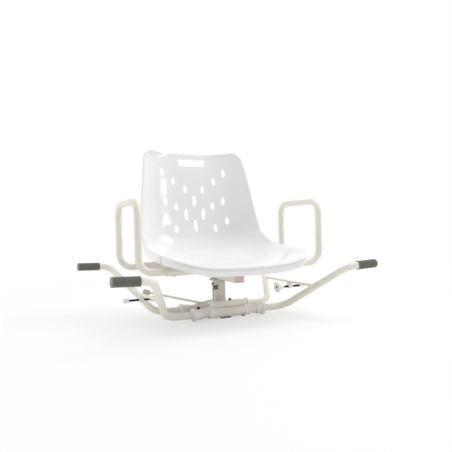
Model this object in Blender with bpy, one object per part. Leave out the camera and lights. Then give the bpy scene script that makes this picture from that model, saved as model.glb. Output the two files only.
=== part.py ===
"""Swivel bath chair: bucket seat on a locking swivel, on a frame whose arms lie on a bath's rim.

Metres, +Z up. The sitter faces -Y. The origin is on the floor, midway between the four grips.
"""
import math

import bmesh
import bpy
import numpy as np
from mathutils import Matrix, Vector

# Clearances
GAP = 0.0003
SCREW_PLAY = 0.0003

# Edges, and how far joined shapes and cutters run past each other
SOFT_EDGE = 0.0015
FINE_EDGE = 0.001
OVERLAP = 0.001
CUTTER_REACH = 0.02

# Low beams: an outer sleeve over an inner tube, on flanged end ferrules that stand on the floor
BEAM_Y = 0.050
ARM_RADIUS = 0.010
ARM_WALL = 0.0015
INNER_TUBE_RADIUS = 0.012
INNER_TUBE_HALF = 0.106
SLEEVE_RADIUS = 0.014
SLEEVE_HALF = 0.047
COLLAR_RADIUS = 0.015
COLLAR_LENGTH = 0.0175
FERRULE_RADIUS = 0.0145
FERRULE_LENGTH = 0.026
FLANGE_RADIUS = 0.018
FLANGE_LENGTH = 0.008
FLOOR_FLAT = 0.0005
BEAM_Z = FLANGE_RADIUS - FLOOR_FLAT

# Arms that slide in the beams, and their grips
ARM_INNER_END = 0.030
ARM_CORNER_X = 0.190
ARM_RISE = Vector((0.090, 0.193, 0.127))
ARM_LOWER_BEND = 0.050
ARM_UPPER_BEND = 0.045
GRIP_TILT = math.radians(2.2)
GRIP_START_X = 0.311
GRIP_END_X = 0.378
GRIP_RADIUS = 0.012
GRIP_END_WALL = 0.006
GRIP_DOME = 0.004

# Brace between the two arms of a side, and the boss that the adjuster turns in
BRACE_RADIUS = 0.004
BRACE_SHARE = 0.518
BRACE_MIDDLE_X = 0.244
BRACE_MIDDLE_Z = 0.081
BRACE_BEND = 0.25
BRACE_RESOLUTION = 2
BOSS_LENGTH = 0.014
BOSS_WIDTH = 0.016
BOSS_HEIGHT = 0.018
ROD_DROP = 0.0145
ROD_RADIUS = 0.00325
ROD_INNER_X = 0.1935
ROD_OUTER_X = 0.2905
ROD_CHAMFER = 0.0006
KNOB_RADIUS = 0.0165
KNOB_FACE_X = 0.193
KNOB_END_X = 0.218
KNOB_RIM = 0.007
KNOB_SHOULDER = 0.004
KNOB_HUB_RADIUS = 0.008
PAD_RADIUS = 0.0062
PAD_START_X = 0.279
PAD_END_X = 0.295

# Base plate, post and front bar
PLATE_BOTTOM = 0.015
PLATE_THICKNESS = 0.005
PLATE_HALF_LENGTH = 0.045
TONGUE_END_X = 0.090
TONGUE_WIDTH = 0.040
TONGUE_OVERLAP = 0.010
SWIVEL_Y = 0.015
POST_WIDTH = 0.035
POST_DEPTH = 0.020
POST_TOP = 0.1005
POST_WALL = 0.002
POST_CROWN = 0.005
BAR_LENGTH = 0.090
BAR_FRONT_Y = -0.052
BAR_WIDTH = 0.034
BAR_HEIGHT = 0.0145
BAR_WALL = 0.0015
PLUG_CAP = 0.002
PLUG_DEPTH = 0.010
BOLT_RADIUS = 0.0025
BOLT_HEAD_RADIUS = 0.0045
BOLT_HEAD_HEIGHT = 0.0035
WASHER_RADIUS = 0.0060
WASHER_HEIGHT = 0.0012
BAR_BOLT_X = 0.015
BAR_BOLT_Y = -0.028

# Swivel
BEARING_RADIUS = 0.014
BEARING_HEIGHT = 0.0022
INDEX_RADIUS = 0.029
INDEX_HEIGHT = 0.004
INDEX_NOTCHES = 12
SPINDLE_RADIUS = 0.005
SPINDLE_HEAD_RADIUS = 0.0085
SPINDLE_HEAD_HEIGHT = 0.005
SPINDLE_NUT_RADIUS = 0.007

# Carrier bar and the socket tubes for the armrests
CARRIER_WIDTH = 0.028
CARRIER_WALL = 0.002
CARRIER_FRONT_Y = -0.124
CARRIER_REAR_Y = 0.116
SOCKET_RADIUS = 0.012
SOCKET_HALF = 0.206
SOCKET_Z = 0.150
FRONT_SOCKET_Y = -0.111
REAR_SOCKET_Y = 0.100
REST_SCREW_RADIUS = 0.0025
REST_SCREW_HEAD_RADIUS = 0.0035
REST_SCREW_HEAD_HEIGHT = 0.002
SOCKET_DRAIN_RADIUS = 0.0022
# The armrest screw and the drain hole, inwards from the tube's end
SOCKET_SCREW_INSET = 0.022
SOCKET_DRAIN_INSET = 0.066

# Armrests: how far they stand out from the socket tubes' ends, and how far they go in
REST_RADIUS = 0.0095
REST_WALL = 0.0015
REST_REACH = 0.073
REST_INSERT = 0.054
REST_TOP_Z = 0.334
REST_BEND = 0.038

# Release lever, in a plane turned a little from the X axis
LEVER_PIVOT = Vector((-0.0715, 0.0076, 0.0265))
LEVER_TURN = math.radians(-15)
LEVER_RADIUS = 0.003
LEVER_BEND = 0.040
LEVER_RESOLUTION = 2
LINK_REACH = 0.045
LEVER_EYE_REACH = 0.0434
LEVER_EYE_Z = 0.046
LEVER_EYE_RADIUS = 0.0065
LEVER_EYE_HOLE = 0.0040
LEVER_EYE_THICKNESS = 0.004
LEVER_LOW_REACH = 0.010
LEVER_LOW_Z = 0.040
LEVER_END_REACH = -0.156
LEVER_END_Z = 0.081
LEVER_TAB_RADIUS = 0.0055
LEVER_TAB_THICKNESS = 0.003
LEVER_WEB_WIDTH = 0.0088
LEVER_WEB_THICKNESS = 0.0029
LEVER_WEB_LOW = 0.002
LEVER_BOLT_TAIL = 0.006
HANDLE_LENGTH = 0.020
HANDLE_WIDTH = 0.014
HANDLE_HEIGHT = 0.015
HANDLE_EDGE = 0.0025
HANDLE_END_WALL = 0.003
EAR_THICKNESS = 0.002
EAR_GAP = 0.0006
EAR_WIDTH = 0.012

# Lock pin, link rod, spring and their bracket on the post
PIN_X = -0.017
PIN_Y = -0.004
PIN_RADIUS = 0.003
PIN_PLAY = 0.0004
PIN_TAIL = 0.006
PIN_CHAMFER = 0.0008
PIN_SINK = 0.0003
LINK_RADIUS = 0.0019
NUT_RADIUS = 0.0035
NUT_HEIGHT = 0.0035
LOW_NUT_RADIUS = 0.0050
YOKE_WIDTH = 0.010
YOKE_THICKNESS = 0.003
GUIDE_LOW_Z = 0.074
GUIDE_HIGH_Z = 0.0945
GUIDE_THICKNESS = 0.003
GUIDE_WIDTH = 0.014
GUIDE_MARGIN = 0.003
LINK_SLACK = 0.0011
SPRING_WIRE = 0.0007
SPRING_RADIUS = 0.0047
SPRING_TURNS = 5
SPRING_STEPS = 8

# Seat shell
SEAT_HALF_WIDTH = 0.217
SHELL_WALL = 0.0035
PAN_Z = 0.1675
CROWN_POWER = 3.3
FLANGE_OUT = 0.004
SEAT_BOLT_X = 0.061
SEAT_BOSS_RADIUS = 0.0095
SEAT_BOSS_SINK = 0.0011
SEAT_BOLT_RADIUS = 0.003
SEAT_BOLT_HEAD_RADIUS = 0.0055
SEAT_BOLT_HEAD_HEIGHT = 0.0035
SEAT_SKIN = 0.0015
BACK_CORNER_RADIUS = 0.013
SLOT_HALF_WIDTH = 0.050
SLOT_HEIGHT = 0.024
# The slot's top below the top of the back's centre line, and its corners' share of its height
SLOT_DROP = 0.0165
SLOT_ROUNDING = 0.36
BACK_CUT_Y = 0.2
BACK_CUT_REACH = 0.1
DRAIN_WIDTH = 0.0145
DRAIN_SHORT = 0.027
DRAIN_TALL = 0.042

# Cross-sections of the shell from the top of the back to the front lip: the Y and height above the
# pan of the centre line, the rim's half-width as a share of the widest, the rim's Y and height, and
# the rim flange's depth
SHELL_SECTIONS = (
    (0.2215, 0.3410, 0.705, 0.1900, 0.3500, 0.008),
    (0.2180, 0.3250, 0.800, 0.1880, 0.3330, 0.009),
    (0.2090, 0.2860, 0.828, 0.1705, 0.2935, 0.010),
    (0.2000, 0.2275, 0.872, 0.1560, 0.2295, 0.012),
    (0.1965, 0.1660, 0.912, 0.1440, 0.1680, 0.014),
    (0.1920, 0.1150, 0.932, 0.1290, 0.1180, 0.018),
    (0.1800, 0.0740, 0.942, 0.1120, 0.0850, 0.022),
    (0.1560, 0.0400, 0.955, 0.0920, 0.0640, 0.025),
    (0.1170, 0.0160, 0.972, 0.0690, 0.0500, 0.027),
    (0.0600, 0.0045, 0.988, 0.0330, 0.0420, 0.027),
    (0.0000, 0.0000, 0.997, -0.0100, 0.0350, 0.027),
    (-0.0800, -0.0005, 1.000, -0.0700, 0.0275, 0.026),
    (-0.1350, -0.0010, 0.990, -0.1170, 0.0235, 0.024),
    (-0.1720, -0.0030, 0.960, -0.1530, 0.0180, 0.022),
    (-0.1890, -0.0060, 0.890, -0.1790, 0.0110, 0.0215),
    (-0.1965, -0.0100, 0.780, -0.1915, 0.0045, 0.0230),
)
# The flange's section: at each step, the share of its width outwards and of its depth under the rim
FLANGE_STEPS = ((0.7, 0.05), (1.0, 0.20), (1.0, 1.0))
# How closely the rows' points crowd towards the rim, from 0 to 1
RIM_CROWDING = 0.6
# The front lip's last rows, whose flange drops the same way
LIP_ROWS = 3
# The drain holes of the back: X, height of the centre, and length
DRAINS = (
    (0.110, 0.447, DRAIN_SHORT),
    (0.073, 0.418, DRAIN_SHORT),
    (0.031, 0.390, DRAIN_SHORT),
    (0.103, 0.350, DRAIN_SHORT),
    (0.065, 0.333, DRAIN_SHORT),
    (0.031, 0.307, DRAIN_TALL),
    (0.000, 0.350, DRAIN_TALL),
    (0.113, 0.282, DRAIN_SHORT),
    (0.070, 0.258, DRAIN_SHORT),
    (0.000, 0.268, DRAIN_TALL),
)

# Fineness of round shapes
HEX_SIDES = 6
TUBE_RESOLUTION = 3
CUTTER_RESOLUTION = 8
TURNED_STEPS = 16
DRAIN_STEPS = 12
BEND_STEPS = 4
SHELL_ROWS = 28
SHELL_COLUMNS = 16

# Sizes that follow from the ones above
ARM_BORE = ARM_RADIUS + GAP
TUBE_SEAT = INNER_TUBE_RADIUS + GAP
PLATE_TOP = PLATE_BOTTOM + PLATE_THICKNESS
BAR_BOTTOM = BEAM_Z + SLEEVE_RADIUS + GAP
BAR_TOP = BAR_BOTTOM + BAR_HEIGHT
BAR_Y = BAR_FRONT_Y + BAR_WIDTH / 2
FERRULE_START = INNER_TUBE_HALF + FLANGE_LENGTH - FERRULE_LENGTH
BEARING_BOTTOM = POST_TOP + GAP
INDEX_BOTTOM = BEARING_BOTTOM + BEARING_HEIGHT + GAP
INDEX_TOP = INDEX_BOTTOM + INDEX_HEIGHT
CARRIER_BOTTOM = INDEX_TOP + GAP
CARRIER_TOP = SOCKET_Z - SOCKET_RADIUS - GAP
SOCKET_BORE = REST_RADIUS + GAP
SOCKET_DRAIN_X = SOCKET_HALF - SOCKET_DRAIN_INSET
SOCKET_SCREW_X = SOCKET_HALF - SOCKET_SCREW_INSET
REST_X = SOCKET_HALF + REST_REACH
REST_INNER_END = SOCKET_HALF - REST_INSERT
BOSS_TOP = BRACE_MIDDLE_Z - BRACE_RADIUS / 2
ROD_Z = BRACE_MIDDLE_Z - ROD_DROP
PIN_TOP = INDEX_TOP - PIN_SINK
YOKE_TOP = GUIDE_HIGH_Z - GAP
YOKE_BOTTOM = YOKE_TOP - YOKE_THICKNESS
RIM_HALF_WIDTH = SEAT_HALF_WIDTH - FLANGE_OUT
SLOT_TOP_Z = PAN_Z + SHELL_SECTIONS[0][1] - SLOT_DROP


def make_material(name, colour, roughness, metallic=0.0):
    """A plain surface: an sRGB colour as three numbers from 0 to 1, its roughness and metalness."""
    material = bpy.data.materials.new(name)
    material.use_nodes = True
    shader = material.node_tree.nodes["Principled BSDF"]
    linear = [((c + 0.055) / 1.055) ** 2.4 if c > 0.04045 else c / 12.92 for c in colour]
    shader.inputs["Base Color"].default_value = (*linear, 1.0)
    shader.inputs["Roughness"].default_value = roughness
    shader.inputs["Metallic"].default_value = metallic
    return material


def place(obj, material, parent=None, location=(0, 0, 0), rotation=(0, 0, 0)):
    """Link an object to the scene with its material, parent and place under that parent."""
    bpy.context.scene.collection.objects.link(obj)
    obj.data.materials.append(material)
    obj.parent = parent
    obj.location = location
    obj.rotation_euler = rotation
    return obj


def empty(name, location=(0, 0, 0), rotation=(0, 0, 0), parent=None):
    """A frame of reference that moving pieces hang from."""
    obj = bpy.data.objects.new(name, None)
    bpy.context.scene.collection.objects.link(obj)
    obj.location = location
    obj.rotation_euler = rotation
    obj.parent = parent
    return obj


def mesh_from(name, bm):
    """Turn a bmesh into a smooth-shaded mesh with sharp edges past 35 degrees."""
    mesh = bpy.data.meshes.new(name)
    bm.to_mesh(mesh)
    bm.free()
    mesh.shade_smooth()
    mesh.set_sharp_from_angle(angle=math.radians(35))
    return mesh


def turned_mesh(name, profile, steps=TURNED_STEPS):
    """A profile of (radius, height) points, walked up the outside, spun about the Z axis.

    A profile that starts and ends on the axis is solid, and any other is closed into a ring.
    """
    bm = bmesh.new()
    points = [bm.verts.new((radius, 0, height)) for radius, height in profile]
    edges = [bm.edges.new(pair) for pair in zip(points, points[1:])]
    if profile[0][0] > 0:
        edges.append(bm.edges.new((points[-1], points[0])))
    bmesh.ops.spin(bm, geom=points + edges, axis=(0, 0, 1), cent=(0, 0, 0),
                   angle=math.tau, steps=steps, use_merge=True)
    bmesh.ops.remove_doubles(bm, verts=bm.verts, dist=1e-6)
    bmesh.ops.recalc_face_normals(bm, faces=bm.faces)
    return mesh_from(name, bm)


def ring_profile(inner, outer, low, high):
    """The profile of a plain ring or tube."""
    return [(inner, low), (outer, low), (outer, high), (inner, high)]


def rod_profile(radius, low, high, chamfer=0.0):
    """The profile of a round rod, with a chamfer at its top."""
    points = [(0, low), (radius, low), (radius, high - chamfer)]
    if chamfer:
        points.append((radius - chamfer, high))
    return points + [(0, high)]


def box_mesh(name, size, centre=(0, 0, 0), bevel=0.0):
    """A block of a given size about a centre, with its edges bevelled."""
    bm = bmesh.new()
    bmesh.ops.create_cube(bm, size=1.0, matrix=Matrix.Translation(centre) @ Matrix.Diagonal((*size, 1)))
    if bevel:
        bmesh.ops.bevel(bm, geom=list(bm.edges), offset=bevel, segments=2, profile=0.5, affect="EDGES")
    return mesh_from(name, bm)


def hex_mesh(name, radius, low, high):
    """A six-sided nut or bolt head."""
    return turned_mesh(name, rod_profile(radius, low, high), steps=HEX_SIDES)


def rounded_route(corners, bends):
    """Points along straight runs through corners, with an arc of each bend's radius at each corner."""
    route = [Vector(corners[0])]
    for before, corner, after, bend in zip(corners, corners[1:], corners[2:], bends):
        back = (Vector(before) - Vector(corner)).normalized()
        ahead = (Vector(after) - Vector(corner)).normalized()
        half = back.angle(ahead) / 2
        reach = bend / math.tan(half)
        centre = Vector(corner) + (back + ahead).normalized() * (bend / math.sin(half))
        start = Vector(corner) + back * reach - centre
        finish = Vector(corner) + ahead * reach - centre
        sweep = start.angle(finish)
        for step in range(BEND_STEPS + 1):
            turn = sweep * step / BEND_STEPS
            arm = (start * math.sin(sweep - turn) + finish * math.sin(turn)) / math.sin(sweep)
            route.append(centre + arm)
    route.append(Vector(corners[-1]))
    return route


def tube_object(name, route, radius, wall=0.0, resolution=TUBE_RESOLUTION):
    """A round tube along a route, as a curve with a bevel. Without a wall it is a solid rod."""
    curve = bpy.data.curves.new(name, "CURVE")
    curve.dimensions = "3D"
    curve.bevel_depth = radius
    curve.bevel_resolution = resolution
    curve.use_fill_caps = wall == 0
    spline = curve.splines.new("POLY")
    spline.points.add(len(route) - 1)
    for point, place_on_route in zip(spline.points, route):
        point.co = (*place_on_route, 1.0)
    obj = bpy.data.objects.new(name, curve)
    if wall:
        solidify = obj.modifiers.new("Wall", "SOLIDIFY")
        solidify.thickness = wall
        solidify.offset = -1
    return obj


def evaluated_mesh(name, obj):
    """The finished mesh of a loose object, which is then removed."""
    bpy.context.scene.collection.objects.link(obj)
    graph = bpy.context.evaluated_depsgraph_get()
    mesh = bpy.data.meshes.new_from_object(obj.evaluated_get(graph), depsgraph=graph)
    bpy.data.objects.remove(obj)
    bm = bmesh.new()
    bm.from_mesh(mesh)
    bmesh.ops.remove_doubles(bm, verts=bm.verts, dist=1e-6)
    bmesh.ops.dissolve_degenerate(bm, edges=bm.edges, dist=1e-7)
    return mesh_from(name, bm)


def moved(mesh, matrix):
    """A copy of a mesh, moved by a matrix."""
    copy = mesh.copy()
    copy.transform(matrix)
    if matrix.determinant() < 0:
        copy.flip_normals()
    return copy


def shift(x, y, z):
    return Matrix.Translation((x, y, z))


def along_x(sign=1):
    """Turns a piece made about Z so that its top points along X, outwards on that side."""
    return Matrix.Rotation(sign * math.pi / 2, 4, "Y")


def shaped(name, base, cutters=(), additions=()):
    """The base mesh with other meshes added to it and then cut from it."""
    obj = bpy.data.objects.new(name, base.copy())
    helpers = []
    for operation, meshes in (("UNION", additions), ("DIFFERENCE", cutters)):
        for mesh in meshes:
            helper = bpy.data.objects.new(name + "_helper", mesh)
            bpy.context.scene.collection.objects.link(helper)
            helpers.append(helper)
            modifier = obj.modifiers.new(operation.title(), "BOOLEAN")
            modifier.operation = operation
            modifier.solver = "EXACT"
            modifier.object = helper
    mesh = evaluated_mesh(name, obj)
    for helper in helpers:
        bpy.data.objects.remove(helper)
    return mesh


def add(name, mesh, material, parent=None, location=(0, 0, 0), rotation=(0, 0, 0)):
    """A named sub-part from a finished mesh."""
    return place(bpy.data.objects.new(name, mesh), material, parent, location, rotation)


def build_beams(paint, plastic):
    """The two low beams: sleeve, inner tube, clamp collars and end ferrules."""
    inner = turned_mesh("inner_tube", ring_profile(ARM_BORE, INNER_TUBE_RADIUS,
                                                   -INNER_TUBE_HALF, INNER_TUBE_HALF))
    sleeve = turned_mesh("sleeve", ring_profile(TUBE_SEAT, SLEEVE_RADIUS, -SLEEVE_HALF, SLEEVE_HALF))
    collar = turned_mesh("collar", [
        (TUBE_SEAT, 0), (COLLAR_RADIUS - SOFT_EDGE, 0), (COLLAR_RADIUS, SOFT_EDGE),
        (COLLAR_RADIUS, COLLAR_LENGTH - SOFT_EDGE), (COLLAR_RADIUS - SOFT_EDGE, COLLAR_LENGTH),
        (TUBE_SEAT, COLLAR_LENGTH)])
    shoulder = FERRULE_LENGTH - FLANGE_LENGTH
    ferrule = turned_mesh("ferrule", [
        (TUBE_SEAT, 0), (FERRULE_RADIUS, 0), (FERRULE_RADIUS, shoulder - SOFT_EDGE),
        (FLANGE_RADIUS, shoulder), (FLANGE_RADIUS, FERRULE_LENGTH - SOFT_EDGE),
        (FLANGE_RADIUS - SOFT_EDGE, FERRULE_LENGTH), (ARM_BORE, FERRULE_LENGTH),
        (ARM_BORE, shoulder + GAP), (TUBE_SEAT, shoulder + GAP)])
    floor = box_mesh("floor", (1, 1, 1), (0, 0, -0.5 - BEAM_Z))
    for end, y in (("front", -BEAM_Y), ("rear", BEAM_Y)):
        add(end + "_inner_tube", moved(inner, along_x()), paint, location=(0, y, BEAM_Z))
        add(end + "_sleeve", moved(sleeve, along_x()), paint, location=(0, y, BEAM_Z))
        for side, sign in (("left", -1), ("right", 1)):
            start = sign * (SLEEVE_HALF + GAP)
            turned_collar = moved(collar, shift(start, 0, 0) @ along_x(sign))
            add(f"{end}_{side}_collar", turned_collar, plastic, location=(0, y, BEAM_Z))
            turned_ferrule = moved(ferrule, shift(sign * FERRULE_START, 0, 0) @ along_x(sign))
            name = f"{end}_{side}_ferrule"
            add(name, shaped(name, turned_ferrule, [floor.copy()]), plastic, location=(0, y, BEAM_Z))


def arm_corners(sign, end):
    """The corners of an arm's centre line, on one side, at the front (-1) or the rear (1)."""
    low = Vector((sign * ARM_CORNER_X, end * BEAM_Y, BEAM_Z))
    high = low + Vector((sign * ARM_RISE.x, end * ARM_RISE.y, ARM_RISE.z))
    reach = GRIP_END_X - GRIP_END_WALL - GAP - abs(high.x)
    tip = high + Vector((sign * reach, 0, reach * math.tan(GRIP_TILT)))
    return [Vector((sign * ARM_INNER_END, end * BEAM_Y, BEAM_Z)), low, high, tip]


def grip_mesh():
    """A grip, closed at its outer end, made about Z with its mouth at the bottom."""
    length = (GRIP_END_X - GRIP_START_X) / math.cos(GRIP_TILT)
    return turned_mesh("grip", [
        (ARM_BORE, 0), (GRIP_RADIUS - FINE_EDGE, 0), (GRIP_RADIUS, FINE_EDGE),
        (GRIP_RADIUS, length - GRIP_DOME), (GRIP_RADIUS - GRIP_DOME / 3, length - GRIP_DOME / 3),
        (GRIP_RADIUS - GRIP_DOME, length), (0, length), (0, length - GRIP_END_WALL),
        (ARM_BORE, length - GRIP_END_WALL)])


def build_side(side, sign, paint, plastic, black_steel, rubber):
    """One side frame: two arms with grips, the brace with its boss, and the adjuster."""
    grip = grip_mesh()
    brace_ends = []
    fat_arms = []
    for end_name, end in (("front", -1), ("rear", 1)):
        corners = arm_corners(sign, end)
        route = rounded_route(corners, [ARM_LOWER_BEND, ARM_UPPER_BEND])
        arm = evaluated_mesh("arm", tube_object("arm", route, ARM_RADIUS, ARM_WALL))
        add(f"{side}_{end_name}_arm", arm, paint)
        fat_arm = tube_object("fat_arm", corners[1:3], ARM_BORE, resolution=CUTTER_RESOLUTION)
        fat_arms.append(evaluated_mesh("fat_arm", fat_arm))
        brace_ends.append(corners[1].lerp(corners[2], BRACE_SHARE))
        run = corners[3] - corners[2]
        mouth = corners[2] + run * ((GRIP_START_X - abs(corners[2].x)) / abs(run.x))
        turn = run.to_track_quat("Z", "X").to_matrix().to_4x4()
        add(f"{side}_{end_name}_grip", moved(grip, turn), rubber, location=mouth)

    middle = Vector((sign * BRACE_MIDDLE_X, 0, BRACE_MIDDLE_Z))
    brace_route = rounded_route([brace_ends[0], middle, brace_ends[1]], [BRACE_BEND])
    brace = evaluated_mesh("brace", tube_object("brace", brace_route, BRACE_RADIUS,
                                                resolution=BRACE_RESOLUTION))
    bore = turned_mesh("bore", rod_profile(ROD_RADIUS + SCREW_PLAY, -CUTTER_REACH, CUTTER_REACH))
    boss_middle = (sign * BRACE_MIDDLE_X, 0, BOSS_TOP - BOSS_HEIGHT / 2)
    boss = box_mesh("boss", (BOSS_LENGTH, BOSS_WIDTH, BOSS_HEIGHT), boss_middle, FINE_EDGE)
    rod_place = shift(sign * BRACE_MIDDLE_X, 0, ROD_Z)
    cutters = fat_arms + [moved(bore, rod_place @ along_x())]
    add(side + "_brace", shaped(side + "_brace", brace, cutters, [boss]), paint)
    build_adjuster(side, sign, plastic, black_steel)


def build_adjuster(side, sign, plastic, black_steel):
    """The black screw in the brace's boss, with its knob and the pad on its outer end."""
    adjuster = empty(side + "_adjuster_axis", (sign * BRACE_MIDDLE_X, 0, ROD_Z), (0, sign * math.pi / 2, 0))
    inner, outer, face, knob_end, start, finish = [
        x - BRACE_MIDDLE_X
        for x in (ROD_INNER_X, ROD_OUTER_X, KNOB_FACE_X, KNOB_END_X, PAD_START_X, PAD_END_X)]
    rod = turned_mesh("rod", rod_profile(ROD_RADIUS, inner, outer, ROD_CHAMFER))
    add(side + "_adjuster_screw", rod, black_steel, adjuster)
    rod_bore = ROD_RADIUS + GAP
    knob = turned_mesh("knob", [
        (rod_bore, face), (KNOB_RADIUS - SOFT_EDGE, face), (KNOB_RADIUS, face + SOFT_EDGE),
        (KNOB_RADIUS, face + KNOB_RIM - SOFT_EDGE), (KNOB_RADIUS - SOFT_EDGE, face + KNOB_RIM),
        (KNOB_HUB_RADIUS, face + KNOB_RIM + KNOB_SHOULDER), (KNOB_HUB_RADIUS - SOFT_EDGE, knob_end),
        (rod_bore, knob_end)])
    add(side + "_adjuster_knob", knob, plastic, adjuster)
    pad = turned_mesh("pad", [
        (rod_bore, start), (PAD_RADIUS, start), (PAD_RADIUS, finish - FINE_EDGE),
        (PAD_RADIUS - FINE_EDGE, finish), (0, finish), (0, outer + GAP), (rod_bore, outer + GAP)])
    add(side + "_adjuster_pad", pad, plastic, adjuster)


def lever_ears():
    """The two welded ears of the lever's pivot and the cutter for their holes, about the pivot."""
    inner = LEVER_TAB_THICKNESS / 2 + EAR_GAP
    low = PLATE_TOP - PLATE_THICKNESS / 2 - LEVER_PIVOT.z
    height = LEVER_TAB_RADIUS - low
    size = (EAR_WIDTH, EAR_THICKNESS, height)
    centres = [(0, way * (inner + EAR_THICKNESS / 2), low + height / 2) for way in (-1, 1)]
    ears = [box_mesh("ear", size, centre) for centre in centres]
    hole = turned_mesh("hole", rod_profile(BOLT_RADIUS + GAP, -CUTTER_REACH, CUTTER_REACH))
    return ears, moved(hole, Matrix.Rotation(math.pi / 2, 4, "X"))


def lock_guide():
    """The welded bracket on the post's face that guides the lock pin, and its holes, about the pin."""
    post_face = SWIVEL_Y - POST_DEPTH / 2 - PIN_Y
    back_height = GUIDE_HIGH_Z + GUIDE_THICKNESS - GUIDE_LOW_Z
    back = box_mesh("back", (GUIDE_WIDTH, GUIDE_THICKNESS + POST_WALL / 2, back_height),
                    (0, post_face + (POST_WALL / 2 - GUIDE_THICKNESS) / 2, GUIDE_LOW_Z + back_height / 2))
    depth = post_face + PIN_RADIUS + GUIDE_MARGIN
    ear_size = (GUIDE_WIDTH, depth, GUIDE_THICKNESS)
    ear_y = post_face - depth / 2
    levels = (GUIDE_LOW_Z, GUIDE_HIGH_Z)
    ears = [box_mesh("ear", ear_size, (0, ear_y, z + GUIDE_THICKNESS / 2)) for z in levels]
    hole = turned_mesh("hole", rod_profile(PIN_RADIUS + PIN_PLAY, -GUIDE_THICKNESS, 2 * GUIDE_THICKNESS))
    return [back] + ears, [moved(hole, shift(0, 0, z)) for z in levels]


def build_base(paint, plastic, steel, dark_steel, brass, nylon):
    """The base plate, the post, the front bar and what holds them."""
    width = 2 * (BEAM_Y - SLEEVE_RADIUS - GAP)
    plate = box_mesh("plate", (2 * PLATE_HALF_LENGTH, width, PLATE_THICKNESS))
    tongue_length = TONGUE_END_X - PLATE_HALF_LENGTH + TONGUE_OVERLAP
    tongue = box_mesh("tongue", (tongue_length, TONGUE_WIDTH, PLATE_THICKNESS),
                      (-TONGUE_END_X + tongue_length / 2, LEVER_PIVOT.y, 0))
    bolt_hole = turned_mesh("hole", rod_profile(BOLT_RADIUS + SCREW_PLAY, -CUTTER_REACH, CUTTER_REACH))
    bolt_place = shift(BAR_BOLT_X, BAR_BOLT_Y, 0)
    plate_middle = PLATE_BOTTOM + PLATE_THICKNESS / 2
    ears, ear_hole = lever_ears()
    lever_frame = shift(*LEVER_PIVOT) @ Matrix.Rotation(LEVER_TURN, 4, "Z")
    on_plate = shift(0, 0, -plate_middle) @ lever_frame
    base_plate = shaped("base_plate", plate, [moved(bolt_hole, bolt_place), moved(ear_hole, on_plate)],
                        [tongue] + [moved(ear, on_plate) for ear in ears])
    add("base_plate", base_plate, paint, location=(0, 0, plate_middle))
    build_post(paint)

    bar = box_mesh("bar", (BAR_LENGTH, BAR_WIDTH, BAR_HEIGHT), bevel=FINE_EDGE)
    bar_hollow = box_mesh("hollow", (2 * BAR_LENGTH, BAR_WIDTH - 2 * BAR_WALL, BAR_HEIGHT - 2 * BAR_WALL))
    bar_hole = moved(bolt_hole, shift(BAR_BOLT_X, BAR_BOLT_Y - BAR_Y, 0))
    bar_centre = (0, BAR_Y, BAR_BOTTOM + BAR_HEIGHT / 2)
    add("front_bar", shaped("front_bar", bar, [bar_hollow, bar_hole]), paint, location=bar_centre)
    face = BAR_LENGTH / 2 + GAP
    cap = box_mesh("cap", (PLUG_CAP, BAR_WIDTH, BAR_HEIGHT), (face + PLUG_CAP / 2, 0, 0))
    stem_size = (PLUG_DEPTH, BAR_WIDTH - 2 * (BAR_WALL + GAP), BAR_HEIGHT - 2 * (BAR_WALL + GAP))
    stem = box_mesh("stem", stem_size, (face + OVERLAP - PLUG_DEPTH / 2, 0, 0))
    plug = shaped("front_bar_plug", cap, additions=[stem])
    add("front_bar_right_plug", plug, plastic, location=bar_centre)
    add("front_bar_left_plug", plug.copy(), plastic, location=bar_centre, rotation=(0, 0, math.pi))

    washer_bottom = BAR_TOP + GAP
    head_bottom = washer_bottom + WASHER_HEIGHT + GAP
    head = hex_mesh("head", BOLT_HEAD_RADIUS, head_bottom, head_bottom + BOLT_HEAD_HEIGHT)
    shank = turned_mesh("shank", rod_profile(BOLT_RADIUS, PLATE_BOTTOM - OVERLAP, head_bottom + OVERLAP))
    add("front_bar_bolt", shaped("front_bar_bolt", head, additions=[shank]), dark_steel,
        location=(BAR_BOLT_X, BAR_BOLT_Y, 0))
    washer = turned_mesh("washer", ring_profile(BOLT_RADIUS + SCREW_PLAY, WASHER_RADIUS, 0, WASHER_HEIGHT))
    add("front_bar_washer", washer, brass, location=(BAR_BOLT_X, BAR_BOLT_Y, washer_bottom))

    bearing = turned_mesh("bearing", ring_profile(SPINDLE_RADIUS + GAP, BEARING_RADIUS, 0, BEARING_HEIGHT))
    add("bearing_washer", bearing, nylon, location=(0, SWIVEL_Y, BEARING_BOTTOM))
    head_low = CARRIER_BOTTOM + CARRIER_WALL + GAP
    nut_top = POST_TOP - POST_CROWN - GAP
    spindle = turned_mesh("spindle", [
        (0, nut_top - SPINDLE_HEAD_HEIGHT), (SPINDLE_NUT_RADIUS, nut_top - SPINDLE_HEAD_HEIGHT),
        (SPINDLE_NUT_RADIUS, nut_top), (SPINDLE_RADIUS, nut_top), (SPINDLE_RADIUS, head_low),
        (SPINDLE_HEAD_RADIUS, head_low), (SPINDLE_HEAD_RADIUS, head_low + SPINDLE_HEAD_HEIGHT),
        (0, head_low + SPINDLE_HEAD_HEIGHT)])
    add("swivel_spindle", spindle, steel, location=(0, SWIVEL_Y, 0))


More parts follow.
